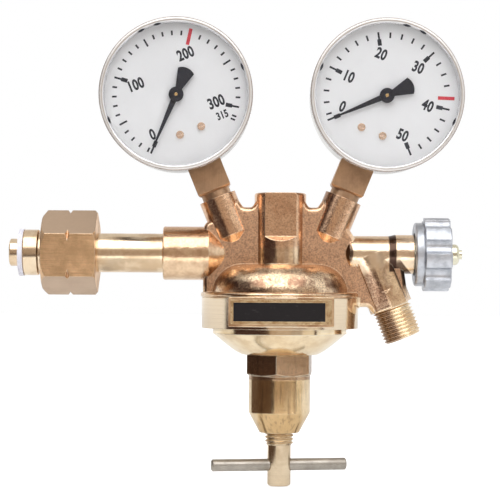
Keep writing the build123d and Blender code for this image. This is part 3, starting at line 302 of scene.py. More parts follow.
# Forged body: its colours, then where its parts lie, millimetres; a pair goes from none to full
castLook = {
    "gold": (0.93, 0.72, 0.49),
    "shade": (0.60, 0.39, 0.24),
    # Dark of grit specks, also painted shade on the boss's left facet and the right port's band
    "gritAndShadeDark": (0.20, 0.10, 0.065),
    "rosy": (0.92, 0.56, 0.35),
    "web": (0.60, 0.36, 0.215),
    "webDark": (0.20, 0.115, 0.08),
    "webPale": (0.62, 0.43, 0.28),
    # Cream: painted highlight on edges
    "cream": (0.90, 0.76, 0.56),
    "turned": (0.90, 0.75, 0.56),
    "turnedShade": (0.82, 0.66, 0.47),
    # Near-black painted shade on the boss's right facet, the groove and the arm's step
    "paintedShadeBrown": (0.06, 0.032, 0.024),
    "waveScale": 0.16,
    "mottleScale": 0.75,
    "fineScale": 3.2,
    "gritScale": 1.7,
    "domeGrit": 0.75,
    "bossGrit": 0.35,
    "uprightGrit": 0.45,
    "edgeRadius": 0.45,
    "bump": 0.42,
    "webDepth": (5.75, 5.55),
    "skirtTop": -17.9,
    "skirtInner": (30.6, 30.9),
    "skirtOuter": (33.2, 33.0),
    "domeFoot": (-17.9, -16.7),
    "domeTop": (-3.0, -5.0),
    "domeInner": (11.0, 13.5),
    "domeOuter": (33.0, 32.0),
    "domeStreak": -11.5,
    "bossStart": (4.0, 8.0),
    "bossEnd": (22.8, 22.6),
    "bossRadius": (13.0, 12.5),
    # Facets of the slanted boss that get painted shade
    "leftFacet": ((-0.5, -1.1), (-7.4, -6.6)),
    "rightFacet": (5.3, 6.2),
    "rightFacetEnd": (19.0, 16.0),
    "upright": (1.0, 4.0),
    "uprightReach": (60.0, 58.0),
    # Right port's band of painted dark reflection
    "portTop": (25.8, 22.9),
    "portSide": (-2.4, -4.4),
    "portSkin": ((7.2, 7.5), (8.6, 8.2)),
    "portFoot": (-17.5, -15.5),
    "armStart": (135.0, 136.5),
    "inletBossEnd": (81.0, 79.5),
    "armRadius": (11.8, 11.3),
    # Groove and the arm's step, both given painted shade
    "groove": ((150.6, 151.3), (154.1, 153.6)),
    "grooveFoot": (-7.4, -6.8),
    "stepShade": ((134.9, 1.5), (0.4, 4.0)),
}


# Edge share: how far the normal rounded over a small radius leans from the face's own normal.
def edgeShare(place, radius, low=0.02, high=0.25):
    rounded = place.add("Bevel", {"samples": 4}, {"Radius": radius * millimetre})
    plain = place.add("NewGeometry", {}, {}, 1)
    lean = rounded.vector("DOT_PRODUCT", plain, 1)
    return rounded, (1.0 - lean).step(low, high)


# The face's own normal: its x, y and z.
def faceAxes(place):
    return place.add("NewGeometry", {}, {}, 1).axes()


# Distance along a turning axis, and distance from it, in millimetres: sqrt(length² − along²).
def turningPlace(place, origin, direction):
    offset = place.vector("SUBTRACT", origin)
    along = offset.vector("DOT_PRODUCT", direction, 1)
    length = offset.vector("LENGTH", (0, 0, 0), 1)
    squared = length * length - along * along
    return along, squared.sums("MAXIMUM", squared, 0.0) ** 0.5


# How far a place lies to one side of an origin.
def sideways(place, origin, direction):
    return place.vector("SUBTRACT", origin).vector("DOT_PRODUCT", direction, 1)


# Distance from the nearer gauge's centre: sqrt((|x − main axis| − aside)² + (z − centre's height)²).
def gaugeRadius(x, z):
    aside = abs(x - layout["mainX"]) - layout["gaugeAside"]
    rise = z - layout["gaugeCentreZ"]
    return (aside * aside + rise * rise) ** 0.5


metalBase = {"driftScale": 0.12, "grainScale": 2.2, "grain": 0.3, "lineRough": 0.12, "lineTint": 0.35,
             "spotScale": 0.9, "spots": 0.3, "edge": 0.25, "wearAndHighlight": 0.5, "bump": 0.35}
caseLining = {"colour": (0.86, 0.86, 0.87), "floor": (9.2, 8.8), "soft": 0.1, "rough": 0.3}


# Metal: base colour drifts between two tones by slow noise, tool lines circle the axis or run along a
# direction, grain gives the fine height, and edges rounded by the Bevel node are lighter, partly wear and
# partly painted highlight. A nut gets a paler painted reflection tone where it leans up or down, a thread
# has painted shade on one side, a case is pale inside.
def metalFinish(name, look):
    look = {**metalBase, **look}
    material, shader, place = newFinish(name)
    drift = place.noise(look["driftScale"], 4.0, 0.6).step(0.35, 0.68)
    grain = place.noise(look["grainScale"], 3.0, 0.6)
    height = grain * look["grain"]
    lines = None
    if "axis" in look:
        along, radial = turningPlace(place, look["origin"], look["axis"])
        rings = {0: along * look["ringScale"], 1: radial * look["ringScale"], 2: 0.0}
        lines = place.add("CombineXYZ", {}, rings).noise(1.0, 3.0, 0.7)
    elif "grainAlong" in look:
        run = look["grainAlong"]
        share = place.vector("DOT_PRODUCT", run, 1)
        back = place.add("CombineXYZ", {}, {0: share * run[0], 1: share * run[1], 2: share * run[2]})
        lines = place.vector("SUBTRACT", back.scaled(0.96)).noise(look["ringScale"], 4.0, 0.7)
    rough = drift.span(0, 1, look["rough"][0], look["rough"][1])
    colour = drift.tint(look["colour"], look["shade"])
    if lines:
        height = height + lines * look["lines"]
        rough = rough + (lines - 0.5) * look["lineRough"]
        colour = (lines.step(0.45, 0.7) * look["lineTint"]).tint(colour, look["shade"])
    spots = place.noise(look["spotScale"], 5.0, 0.7).step(0.62, 0.78) * look["spots"]
    colour = spots.tint(colour, look.get("dark", tuple(0.5 * part for part in look["shade"])))
    rounded, edge = edgeShare(place, look["edge"])
    # Edges lighter towards the worn colour: partly wear, partly painted highlight
    colour = (edge * look["wearAndHighlight"]).tint(colour, look.get("worn", look["colour"]))
    if "paintedFacingTone" in look:
        lean = abs(faceAxes(place)[2])
        # Painted reflection tone: faces that lean up or down turn paler and greyer
        colour = (lean.step(0.3, 0.6) * 0.9).tint(colour, look["paintedFacingTone"])
    if "paintedShadeSide" in look:
        # Painted shade darkens one side of the part
        spec = look["paintedShadeSide"]
        side = sideways(place, look["origin"], spec["towards"])
        colour = (side.step(*spec["range"]) * spec["share"]).tint(colour, spec["colour"])
    metal = 1.0
    if "lining" in look:
        x, y, z = place.axes()
        soft = caseLining["soft"]
        inside = gaugeRadius(x, z).step(look["lining"] + soft, look["lining"] - soft)
        inside = inside * y.step(*caseLining["floor"])
        colour = inside.tint(colour, caseLining["colour"])
        rough = rough + inside * caseLining["rough"]
        metal = 1.0 - inside
    plug(shader, colour=colour, metal=metal, rough=rough, normal=height.bump(look["bump"], 0.0002, rounded))
    return material


# Forged body. The flat web, where a face looks straight forward or back at the web's depth, is rough and
# pinkish; the rest is smoother gold with soft forging waves. Dome, slanted boss and all above the arms
# carry dark grit, and the arm and the skirt are turned. Painted shade darkens two facets of the slanted
# boss, a band on the right port, a groove and the arm's step; edges carry a painted highlight.
def castFinish(name, look):
    material, shader, place = newFinish(name)
    x, y, z = place.axes()
    drop, radial = turningPlace(place, (layout["mainX"], 0.0, 0.0), (0.0, 0.0, 1.0))
    reach, fromOutlet = turningPlace(place, layout["outletStart"], outletAxis)
    run, fromArm = turningPlace(place, (0.0, 0.0, 0.0), (1.0, 0.0, 0.0))
    web = abs(faceAxes(place)[1]).step(0.9, 0.98) * abs(y).step(*look["webDepth"])
    slow = place.noise(look["waveScale"], 4.0, 0.6)
    medium = place.noise(look["mottleScale"], 4.0, 0.62)
    fine = place.noise(look["fineScale"], 4.0, 0.7)
    grit = place.noise(look["gritScale"], 3.0, 0.7)

    # Gold with its grit
    dome = drop.step(*look["domeFoot"]) * drop.step(*look["domeTop"])
    dome = dome * radial.step(*look["domeInner"]) * radial.step(*look["domeOuter"])
    outletBoss = reach.step(*look["bossStart"]) * reach.step(*look["bossEnd"])
    outletBoss = outletBoss * fromOutlet.step(*look["bossRadius"])
    upright = drop.step(*look["upright"]) * radial.step(*look["uprightReach"])
    coarse = dome * look["domeGrit"] + outletBoss * look["bossGrit"] + upright * look["uprightGrit"]
    gold = slow.step(0.36, 0.7).tint(look["gold"], look["shade"])
    gold = (medium.step(0.55, 0.76) * 0.35).tint(gold, look["shade"])
    gold = (upright * 0.6).tint(gold, look["rosy"])
    gold = (coarse * (0.12 + grit.step(0.45, 0.63) * 0.8)).tint(gold, look["gritAndShadeDark"])

    # Slanted outlet boss: painted shade on its left facet, broken by grit, and near-black painted shade on
    # its right facet
    beside = sideways(place, layout["outletStart"], outletAside)
    leftFacet = beside.step(*look["leftFacet"][0]) * beside.step(*look["leftFacet"][1]) * outletBoss
    gold = (leftFacet * (0.6 + grit.step(0.42, 0.62) * 0.35)).tint(gold, look["gritAndShadeDark"])
    rightFacet = beside.step(*look["rightFacet"]) * outletBoss * reach.step(*look["rightFacetEnd"])
    gold = (rightFacet * 0.85).tint(gold, look["paintedShadeBrown"])

    # Right gauge port: painted dark reflection band on its left, broken by grit
    portUp = gaugeUp("outlet_gauge")
    portTop = (layout["mainX"] + look["portTop"][0], 0.0, look["portTop"][1])
    rise, fromPort = turningPlace(place, portTop, portUp)
    band = sideways(place, portTop, (portUp[2], 0.0, -portUp[0])).step(*look["portSide"])
    band = band * fromPort.step(*look["portSkin"][0]) * fromPort.step(*look["portSkin"][1])
    band = band * rise.step(*look["portFoot"])
    gold = (band * (0.7 + grit.step(0.4, 0.65) * 0.2)).tint(gold, look["gritAndShadeDark"])

    # Turned arm, inlet boss, dark streak round the dome, painted shade in the groove and at the arm's step
    arm = run.step(*look["armStart"]) * fromArm.step(*look["armRadius"]) * (1.0 - outletBoss)
    gold = (arm * 0.6).tint(gold, look["turned"])
    inletBoss = run.step(*look["inletBossEnd"]) * fromArm.step(*look["armRadius"])
    gold = (inletBoss * (0.25 + grit.step(0.5, 0.66) * 0.3)).tint(gold, look["shade"])
    streak = abs(drop - look["domeStreak"] + medium * 3.0 - 1.5).step(3.2, 0.6) * dome * slow.step(0.4, 0.6)
    gold = (streak * 0.75).tint(gold, look["gritAndShadeDark"])
    groove = x.step(*look["groove"][0]) * x.step(*look["groove"][1]) * drop.step(*look["grooveFoot"])
    gold = (groove * 0.97).tint(gold, look["paintedShadeBrown"])
    (stepShadeX, stepShadeWide), (stepShadeZ, stepShadeHigh) = look["stepShade"]
    stepShade = ((x - stepShadeX) / stepShadeWide) ** 2.0 + ((drop - stepShadeZ) / stepShadeHigh) ** 2.0
    gold = (stepShade.step(1.3, 0.5) * 0.9).tint(gold, look["paintedShadeBrown"])

    # Web, edges with a painted highlight and the turned skirt
    webColour = (grit.step(0.38, 0.66) * 0.7).tint(look["web"], look["webDark"])
    webColour = (medium.step(0.48, 0.74) * 0.35).tint(webColour, look["webPale"])
    rounded, edge = edgeShare(place, look["edgeRadius"], 0.03, 0.3)
    # Painted highlight: edges tinted cream and made less metal below, so they stay pale
    colour = (edge * 0.8).tint(web.tint(gold, webColour), look["cream"])
    skirt = drop.step(look["skirtTop"] + 0.3, look["skirtTop"])
    skirt = skirt * radial.step(*look["skirtInner"]) * radial.step(*look["skirtOuter"])
    rings = place.add("CombineXYZ", {}, {0: drop * 2.5, 1: 0.0, 2: 0.0}).noise(1.0, 3.0, 0.7)
    colour = skirt.tint(colour, rings.step(0.4, 0.7).tint(look["turned"], look["turnedShade"]))
    rough = web.span(0, 1, 0.0, 0.26) + medium.span(0.3, 0.7, 0.14, 0.24) + coarse * 0.05 - skirt * 0.04
    height = medium * 0.25 + fine * (0.05 + web * 0.5 + coarse * 0.12) + slow * 0.7
    height = height * (1.0 - skirt * 0.92)
    plug(shader, colour=colour, metal=1.0 - edge * 0.35, rough=rough,
         normal=height.bump(look["bump"], 0.0005, rounded))
    return material


bonnetLook = {
    "bell": (0.95, 0.80, 0.57),
    "bellShade": (0.80, 0.62, 0.39),
    "forged": (0.80, 0.59, 0.33),
    "forgedShade": (0.60, 0.41, 0.21),
    "flat": (0.58, 0.395, 0.25),
    "flatShade": (0.43, 0.28, 0.165),
    "dark": (0.16, 0.09, 0.05),
    # Worn: edge colour, wear and painted highlight
    "worn": (0.99, 0.93, 0.76),
    "hexTop": -41.6,
    "hexBottom": -51.1,
    "coneTop": -64.8,
    # Flank: where the painted sheen on the neck's sides begins
    "flank": (8.0, 10.0),
    "grit": 0.75,
    "gritScale": 2.3,
    "streaks": 0.35,
    "edgeRadius": 0.7,
}


# Bonnet: turned bright bell above; from the hexagon down forged brass with dark grit on the flats, faint
# streaks up and down, painted sheen on the neck's flanks, painted shade on the cone and painted highlight
# with wear on the edges.
def bonnetFinish(name, look):
    material, shader, place = newFinish(name)
    x, y, z = place.axes()
    drift = place.noise(0.14, 4.0, 0.6).step(0.35, 0.68)
    grit = place.noise(look["gritScale"], 4.0, 0.7)
    run = place.add("Mapping", {}, {"Vector": place, "Scale": (1.0, 1.0, 0.07)}).noise(0.8, 3.0, 0.6)
    low = z.step(look["hexTop"] + 0.5, look["hexTop"] - 0.1)
    flats = low * z.step(look["hexBottom"] - 0.5, look["hexBottom"] + 0.1)
    neck = low * z.step(look["coneTop"] - 0.4, look["coneTop"] + 0.2)
    cone = z.step(look["coneTop"] + 0.2, look["coneTop"] - 0.4)
    bell = drift.tint(look["bell"], look["bellShade"])
    flatTone = drift.tint(look["flat"], look["flatShade"])
    forged = flats.tint(drift.tint(look["forged"], look["forgedShade"]), flatTone)
    # Painted shade on the cone, which faces down
    forged = (cone * 0.7).tint(forged, look["forgedShade"])
    forged = (run.step(0.5, 0.66) * look["streaks"]).tint(forged, look["dark"])
    # Painted sheen: the neck's sides paler, towards the bell colour
    flank = abs(x - layout["mainX"]).step(*look["flank"])
    forged = (flank * z.step(look["hexBottom"], look["hexBottom"] - 0.5) * 0.7).tint(forged, bell)
    forged = (grit.step(0.47, 0.62) * (flats * 0.65 + neck * 0.35) * look["grit"]).tint(forged, look["dark"])
    rounded, edge = edgeShare(place, look["edgeRadius"])
    # Edges: painted highlight with wear, towards the worn colour, and less metal
    colour = (edge * 0.9).tint(low.tint(bell, forged), look["worn"])
    rough = drift.span(0, 1, 0.10, 0.17) + flats * grit.span(0.35, 0.65, 0.0, 0.14) + edge * 0.18
    height = grit * (0.02 + flats * 0.6 + neck * 0.2)
    plug(shader, colour=colour, metal=1.0 - edge * 0.5, rough=rough, normal=height.bump(0.3, 0.0002, rounded))
    return material


# Plain matter: two close colours by noise, a set roughness and a small bump.
def plainFinish(name, look):
    material, shader, place = newFinish(name)
    drift = place.noise(look["scale"], 4.0, 0.6)
    colour = drift.step(0.35, 0.65).tint(look["colour"], look["shade"])
    rough = drift.span(0.3, 0.7, look["rough"][0], look["rough"][1])
    fine = place.noise(look["scale"] * 6, 3.0, 0.6)
    plug(shader, colour=colour, metal=0.0, rough=rough, normal=fine.bump(look["bump"], 0.0001))
    return material


rimLook = {
    "inner": 28.75,
    "outer": 31.05,
    "plateBack": 16.3,
    "metal": 0.35,
    "share": 0.82,
    # Painted reflections of the case: colour bands across the rim
    "paintedRimBands": [(0.0, (0.42, 0.42, 0.46)), (0.1, (0.75, 0.75, 0.78)), (0.3, (0.86, 0.85, 0.84)),
              (0.4, (0.42, 0.35, 0.31)), (0.5, (0.80, 0.76, 0.72)), (0.72, (0.90, 0.88, 0.86)),
              (0.82, (0.50, 0.42, 0.37)), (1.0, (0.36, 0.30, 0.27))],
}


# Window: clear acrylic that lets light through to the dial. Its stepped rim shows painted reflections of the
# case as pale and brown-grey bands by distance from the gauge's centre, and its spigot behind the plate
# doesn't show.
def windowFinish(name, rim):
    material, shader, place = newFinish(name)
    start = Signal(material.node_tree)
    wave = place.noise(0.3, 2.0, 0.5)
    plug(shader, colour=(0.985, 0.985, 0.99), clear=1.0, ior=1.33, rough=wave.span(0.3, 0.7, 0.01, 0.04),
         normal=wave.bump(0.05, 0.0002))
    x, y, z = place.axes()
    radius = gaugeRadius(x, z)
    across = radius.span(rim["inner"], rim["outer"], 0.0, 1.0)
    paintedRimBands = start.add("ValToRGB", {"stops": rim["paintedRimBands"]}, {0: across})
    ring = start.add("BsdfPrincipled", {}, {"Base Color": paintedRimBands, "Metallic": rim["metal"], "Roughness": 0.22,
                                            "Coat Weight": 1.0, "Coat Roughness": 0.03})
    share = radius.step(rim["inner"] - 0.05, rim["inner"] + 0.12) * rim["share"]
    shown = start.add("MixShader", {}, {0: share, 1: Signal(start.tree, shader.outputs[0]), 2: ring})
    passing = start.add("BsdfTransparent", {}, {"Color": (0.97, 0.97, 0.97, 1)})
    mixed = start.add("MixShader", {}, {0: rayIs(start, "Shadow"), 1: shown, 2: passing})
    spigot = y.step(-rim["plateBack"], 0.2 - rim["plateBack"])
    showAs(material, start.add("MixShader", {}, {0: spigot, 1: mixed, 2: passing}))
    return material


plateLook = {
    "front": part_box("name_plate")[0][1] / millimetre,
    "black": (0.012, 0.010, 0.011),
    "scratched": (0.25, 0.24, 0.22),
    "brass": (0.86, 0.70, 0.45),
    "brassShade": (0.62, 0.42, 0.22),
}


# Name plate: black paint in the recess, pale brass on the raised border, faint scratches across the paint.
def plateFinish(name, look):
    material, shader, place = newFinish(name)
    border = place.axes()[1].step(look["front"] + 0.2, look["front"] + 0.1)
    turned = place.add("Mapping", {}, {"Vector": place, "Rotation": (0, 0.9, 0), "Scale": (0.25, 1, 5.0)})
    worn = turned.noise(1.2, 3.0, 0.7).step(0.66, 0.74) * 0.35
    black = worn.tint(look["black"], look["scratched"])
    brass = place.noise(0.5, 3.0, 0.6).step(0.35, 0.7).tint(look["brass"], look["brassShade"])
    rounded, edge = edgeShare(place, 0.15)
    plug(shader, colour=border.tint(black, brass), metal=border, rough=border.span(0, 1, 0.42, 0.25),
         normal=rounded, gloss=0.22)
    return material


xAxis = {"origin": (0.0, 0.0, 0.0), "axis": (1.0, 0.0, 0.0)}
zAxis = {"origin": (layout["mainX"], 0.0, 0.0), "axis": (0.0, 0.0, 1.0)}
# In these entries worn and wearAndHighlight set the edge colour: wear and painted highlight
metals = {
    "turned_brass": {**xAxis, "colour": (0.88, 0.72, 0.52), "shade": (0.68, 0.50, 0.32),
                     "rough": (0.16, 0.26), "ringScale": 3.0, "lines": 0.5, "grain": 0.08, "bump": 0.18,
                     "spots": 0.1},
    # Nut: paintedFacingTone is a painted reflection tone on its top and bottom faces
    "nut_brass": {"grainAlong": (1.0, 0.0, 0.0), "colour": (0.92, 0.60, 0.34), "shade": (0.56, 0.35, 0.185),
                  "paintedFacingTone": (0.54, 0.41, 0.305), "rough": (0.34, 0.44), "ringScale": 1.9, "lines": 1.2,
                  "lineTint": 0.75, "grain": 0.15, "bump": 0.4, "worn": (0.96, 0.84, 0.66), "wearAndHighlight": 0.7,
                  "edge": 0.5, "spots": 0.2},
    "screw_brass": {**zAxis, "colour": (0.70, 0.575, 0.41), "shade": (0.54, 0.41, 0.27),
                    "rough": (0.08, 0.14), "ringScale": 2.2, "lines": 0.3, "lineTint": 0.2, "grain": 0.1,
                    "bump": 0.03, "spots": 0.15},
    # Thread: painted shade on its left side
    "thread_brass": {"origin": layout["outletStart"], "axis": outletAxis, "colour": (0.97, 0.85, 0.66),
                     "shade": (0.80, 0.63, 0.44), "rough": (0.2, 0.3), "ringScale": 2.2, "lines": 0.2,
                     "grain": 0.1, "bump": 0.05, "worn": (0.97, 0.86, 0.62),
                     "paintedShadeSide": {"towards": outletAside, "range": (0.2, -2.4), "share": 0.72,
                                 "colour": (0.26, 0.14, 0.08)}},
    "bright_brass": {**xAxis, "colour": (0.86, 0.84, 0.68), "shade": (0.70, 0.66, 0.50), "rough": (0.2, 0.3),
                     "ringScale": 4.0, "lines": 0.4, "grain": 0.2, "bump": 0.3},
    "block_brass": {"grainAlong": (0.0, 0.0, 1.0), "colour": (0.59, 0.385, 0.24), "shade": (0.41, 0.26, 0.16),
                    "rough": (0.34, 0.46), "ringScale": 1.6, "lines": 0.8, "worn": (0.9, 0.72, 0.42),
                    "wearAndHighlight": 0.7, "edge": 0.2},
    "movement_brass": {"grainAlong": (1.0, 0.0, 0.0), "colour": (0.80, 0.58, 0.29),
                       "shade": (0.62, 0.42, 0.2), "rough": (0.2, 0.32), "ringScale": 3.0, "lines": 0.4,
                       "grain": 0.2},
    "sintered_bronze": {"colour": (0.55, 0.34, 0.18), "shade": (0.34, 0.19, 0.1), "rough": (0.5, 0.65),
                        "grainScale": 6.0, "grain": 2.0, "bump": 0.8, "spotScale": 4.0, "spots": 0.8},
    "bar_steel": {"grainAlong": (0.98, -0.17, 0.0), "colour": (0.46, 0.425, 0.38),
                  "shade": (0.34, 0.31, 0.27), "rough": (0.36, 0.48), "ringScale": 2.0, "lines": 0.7,
                  "spots": 0.35},
    "ring_steel": {**zAxis, "colour": (0.62, 0.61, 0.59), "shade": (0.5, 0.49, 0.47), "rough": (0.2, 0.3),
                   "ringScale": 3.0, "lines": 0.4},
    "spring_steel": {"colour": (0.45, 0.45, 0.46), "shade": (0.3, 0.3, 0.32), "rough": (0.22, 0.34)},
    "dial_screw": {"colour": (1.0, 0.86, 0.74), "shade": (0.90, 0.70, 0.56), "rough": (0.16, 0.26),
                   "grain": 0.2},
    "case_steel": {"colour": (0.66, 0.63, 0.60), "shade": (0.52, 0.49, 0.46), "rough": (0.14, 0.22),
                   "lining": 29.95, "driftScale": 0.05, "grain": 0.1, "bump": 0.12, "spots": 0.05},
    "wheel_alloy": {"colour": (0.58, 0.60, 0.645), "shade": (0.43, 0.45, 0.49), "rough": (0.36, 0.5),
                    "driftScale": 0.25, "grainScale": 1.6, "grain": 1.3, "bump": 0.5, "edge": 0.5,
                    "worn": (0.80, 0.81, 0.85), "wearAndHighlight": 0.6, "spotScale": 0.7, "dark": (0.22, 0.235, 0.27)},
}
plains = {
    "seal_ring": {"colour": (0.74, 0.72, 0.82), "shade": (0.82, 0.82, 0.88), "rough": (0.4, 0.5),
                  "scale": 0.4, "bump": 0.2},
    "black_rubber": {"colour": (0.02, 0.02, 0.02), "shade": (0.035, 0.035, 0.035), "rough": (0.6, 0.75),
                     "scale": 0.6, "bump": 0.4},
    "seat_plastic": {"colour": (0.75, 0.72, 0.66), "shade": (0.66, 0.63, 0.57), "rough": (0.35, 0.45),
                     "scale": 0.5, "bump": 0.2},
    "packing_white": {"colour": (0.85, 0.85, 0.83), "shade": (0.75, 0.75, 0.73), "rough": (0.4, 0.5),
                      "scale": 0.5, "bump": 0.2},
    "dial_white": {"colour": (0.885, 0.90, 0.92), "shade": (0.865, 0.88, 0.90), "rough": (0.42, 0.5),
                   "scale": 0.08, "bump": 0.03},
    "pointer_black": {"colour": (0.008, 0.010, 0.018), "shade": (0.014, 0.016, 0.026), "rough": (0.34, 0.45),
                      "scale": 0.8, "bump": 0.1},
    "dial_ink": {"colour": (0.016, 0.02, 0.03), "shade": (0.028, 0.032, 0.045), "rough": (0.45, 0.6),
                 "scale": 0.9, "bump": 0.05},
    "dial_red": {"colour": (0.62, 0.045, 0.07), "shade": (0.72, 0.07, 0.09), "rough": (0.45, 0.6),
                 "scale": 0.9, "bump": 0.05},
}
finishes = {word: metalFinish(word, look) for word, look in metals.items()}
finishes.update({word: plainFinish(word, look) for word, look in plains.items()})
finishes["cast_brass"] = castFinish("cast_brass", castLook)
finishes["bonnet_brass"] = bonnetFinish("bonnet_brass", bonnetLook)
finishes["window_clear"] = windowFinish("window_clear", rimLook)
finishes["plate_black"] = plateFinish("plate_black", plateLook)
for entry in frame["record"]["subparts"]:
    shown = nodes[entry["node"]].data
    shown.materials.clear()
    screws = entry["node"].endswith("dial_screws")
    shown.materials.append(finishes["dial_screw" if screws else entry["material_slot"]])
print("finishes on", len(nodes), "nodes")

# Outlet nozzle: a copy of the body with the nozzle brought down to the thread's root, and the thread round it
nozzle = {
    "origin": layout["outletStart"],
    "direction": outletAxis,
    "start": 23.2,
    "end": 37.2,
    "length": 36.8,
    "pitch": 1.5,
    "hand": -1,
    "root": 7.1,
    "height": 0.9,
    "crest": 8.0,
    "tip": 7.15,
    "outside": 8.06,
    "inner": 6.9,
    "runOut": 0.7,
    "segments": 120,
    "perPitch": 14,
}
bodyCopy = bmesh.new()
bodyCopy.from_mesh(nodes["regulator_body"].data)
bmesh.ops.remove_doubles(bodyCopy, verts=bodyCopy.verts, dist=2e-6)
bodyMesh = bpy.data.meshes.new("forged_body")
bodyCopy.to_mesh(bodyMesh)
bodyCopy.free()
points = np.empty(len(bodyMesh.vertices) * 3)
bodyMesh.vertices.foreach_get("co", points)
points = points.reshape(-1, 3) / millimetre
offset = points - np.array(nozzle["origin"])
along = offset @ np.array(outletAxis)
across = offset - along[:, None] * np.array(outletAxis)
radial = np.linalg.norm(across, axis=1)
onNozzle = (along > nozzle["start"] - 0.05) & (radial > nozzle["root"]) & (radial < nozzle["outside"])
points[onNozzle] -= across[onNozzle] * (1 - nozzle["root"] / radial[onNozzle])[:, None]
bodyMesh.vertices.foreach_set("co", (points * millimetre).ravel())
bodyMesh.update()
forgedBody = makePiece("forged_body", [bodyMesh], finishes["cast_brass"], "regulator", 32)
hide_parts("regulator_body")

stations = np.arange(nozzle["start"], nozzle["length"] + 0.001, nozzle["pitch"] / nozzle["perPitch"])
limit = np.minimum(nozzle["crest"], nozzle["tip"] + (nozzle["length"] - stations))
outer = threadPoints(nozzle, stations, limit)
bore = {**nozzle, "root": nozzle["inner"], "height": 0.0}
inner = threadPoints(bore, stations[[-1, 0]], np.full(2, nozzle["crest"]))
makePiece("outlet_thread", [gridMesh("thread", np.concatenate([outer, inner]), True, True)],
          finishes["thread_brass"], "regulator", 40)
print("outlet thread cut:", len(stations), "stations")

# Adjusting screw: thread above, plain stem below
screw = {
    "origin": (layout["mainX"], 0.0, 0.0),
    "direction": (0.0, 0.0, -1.0),
    "start": 61.5,
    "end": 78.2,
    "pitch": 1.5,
    "hand": 1,
    "root": 5.15,
    "height": 0.85,
    "crest": 6.0,
    "tip": 5.2,
    "tipAt": 77.9,
    "runOut": 0.9,
    "segments": 112,
    "perPitch": 14,
    "stem": 4.8,
    "stemEnd": 94.8,
    "edge": 0.6,
}
stations = np.arange(screw["start"], screw["end"], screw["pitch"] / screw["perPitch"])
limit = np.minimum(screw["crest"], screw["tip"] + (screw["tipAt"] - stations).clip(0))
shaft = threadPoints(screw, stations, limit)
plain = np.array([(screw["end"], screw["stem"]), (screw["stemEnd"] - screw["edge"], screw["stem"]),
                  (screw["stemEnd"], screw["stem"] - screw["edge"]), (screw["stemEnd"], 0.0)])
smooth = {**screw, "height": 0.0, "root": screw["crest"]}
tail = threadPoints(smooth, plain[:, 0], plain[:, 1])
head = threadPoints(smooth, np.array([screw["start"]]), np.array([0.0]))
screwMesh = gridMesh("screw", np.concatenate([head, shaft, tail]), False, True)
screwPiece = makePiece("threaded_screw", [screwMesh], finishes["screw_brass"], "screw", 40)
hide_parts("adjusting_screw")
print("adjusting screw threaded")

# Soft inner parts: copies of the solids, each with a mesh of its own, shown in place of the solids
softParts = {
    "main_coil": {"node": "main_spring", "finish": "spring_steel", "joint": "spring_button_slide",
                  "travel": 9.0},
    "poppet_coil": {"node": "poppet_spring", "finish": "spring_steel", "joint": "valve_lift", "travel": 0.8},
    "diaphragm_disc": {"node": "diaphragm", "finish": "black_rubber", "joint": "valve_lift", "travel": 0.8},
}
for word, part in softParts.items():
    copied = nodes[part["node"]].data.copy()
    piece = makePiece(word, [copied], finishes[part["finish"]], "regulator", 40)
    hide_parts(part["node"])
    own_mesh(piece)

# Dial printing: radii and widths in millimetres, angles in degrees clockwise from the dial's top
dialPrint = {
    "face": 11.505,
    "thick": 0.03,
    "tickWidth": 0.74,
    "boldWidth": 1.6,
    "fineWidth": 0.78,
    "bold": (20.4, 23.0),
    "thin": (23.0, 25.9),
    "red": (20.6, 27.3, 1.4),
    "numeralHeight": 4.65,
    "smallHeight": 3.3,
    "narrow": 0.73,
    "letters": {"extrude": 0.01, "offset": 0.038, "space_character": 1.06, "resolution_u": 6},
    "inlet_gauge": {
        "tick": (24.0, 25.9),
        "long": (22.5, 25.9),
        "zero": (0, 225.0),
        "first": (10, 228.4),
        "step": 8.79 / 10,
        "last": (315, 135.4),
        "ticks": [10 * n for n in range(1, 32)],
        "longTicks": (50, 150, 250),
        "boldAt": (0, 100, 300),
        "redAt": 34.5,
        "skip": (200,),
        "numerals": {"0": (232.6, 18.7), "100": (306.2, 16.6), "200": (34.5, 17.0), "300": (122.0, 16.4),
                     "315": (135.6, 20.3)},
        "small": ("315",),
    },
    "outlet_gauge": {
        "tick": (23.3, 25.6),
        "long": (23.3, 25.6),
        "zero": (0, 225.0),
        "first": (2, 230.3),
        "step": 11.05 / 2,
        "last": (50, 135.6),
        "ticks": [2 * n for n in range(1, 25)],
        "longTicks": (),
        "boldAt": (0, 10, 20, 30, 40, 50),
        "redAt": 70.0,
        "skip": (38,),
        "numerals": {"0": (234.0, 18.4), "10": (274.6, 16.9), "20": (330.0, 17.1), "30": (25.5, 17.1),
                     "40": (80.9, 16.9), "50": (135.6, 17.1)},
        "small": (),
    },
}


# Bars: each is a thin box along the radius at its angle a: (r sin a + t cos a, r cos a − t sin a).
def barMesh(name, bars):
    bars = np.array(bars, dtype=float)
    angle = np.radians(bars[:, :1])
    radius = bars[:, [1, 2, 2, 1]]
    aside = bars[:, 3:4] / 2 * np.array([[-1, -1, 1, 1]])
    u = radius * np.sin(angle) + aside * np.cos(angle)
    v = radius * np.cos(angle) - aside * np.sin(angle)
    low = np.stack([u, v, np.full_like(u, dialPrint["face"])], axis=-1)
    high = low + np.array((0.0, 0.0, dialPrint["thick"]))
    box = onDial(name, np.concatenate([low, high], axis=1)).reshape(-1, 3)
    pattern = np.array([(0, 1, 2, 3), (7, 6, 5, 4), (0, 4, 5, 1), (1, 5, 6, 2), (2, 6, 7, 3), (3, 7, 4, 0)])
    faces = (np.arange(len(bars))[:, None, None] * 8 + pattern).reshape(-1, 4)
    mesh = bpy.data.meshes.new(name + "_bars")
    mesh.from_pydata((box * millimetre).tolist(), [], faces.tolist())
    return mesh


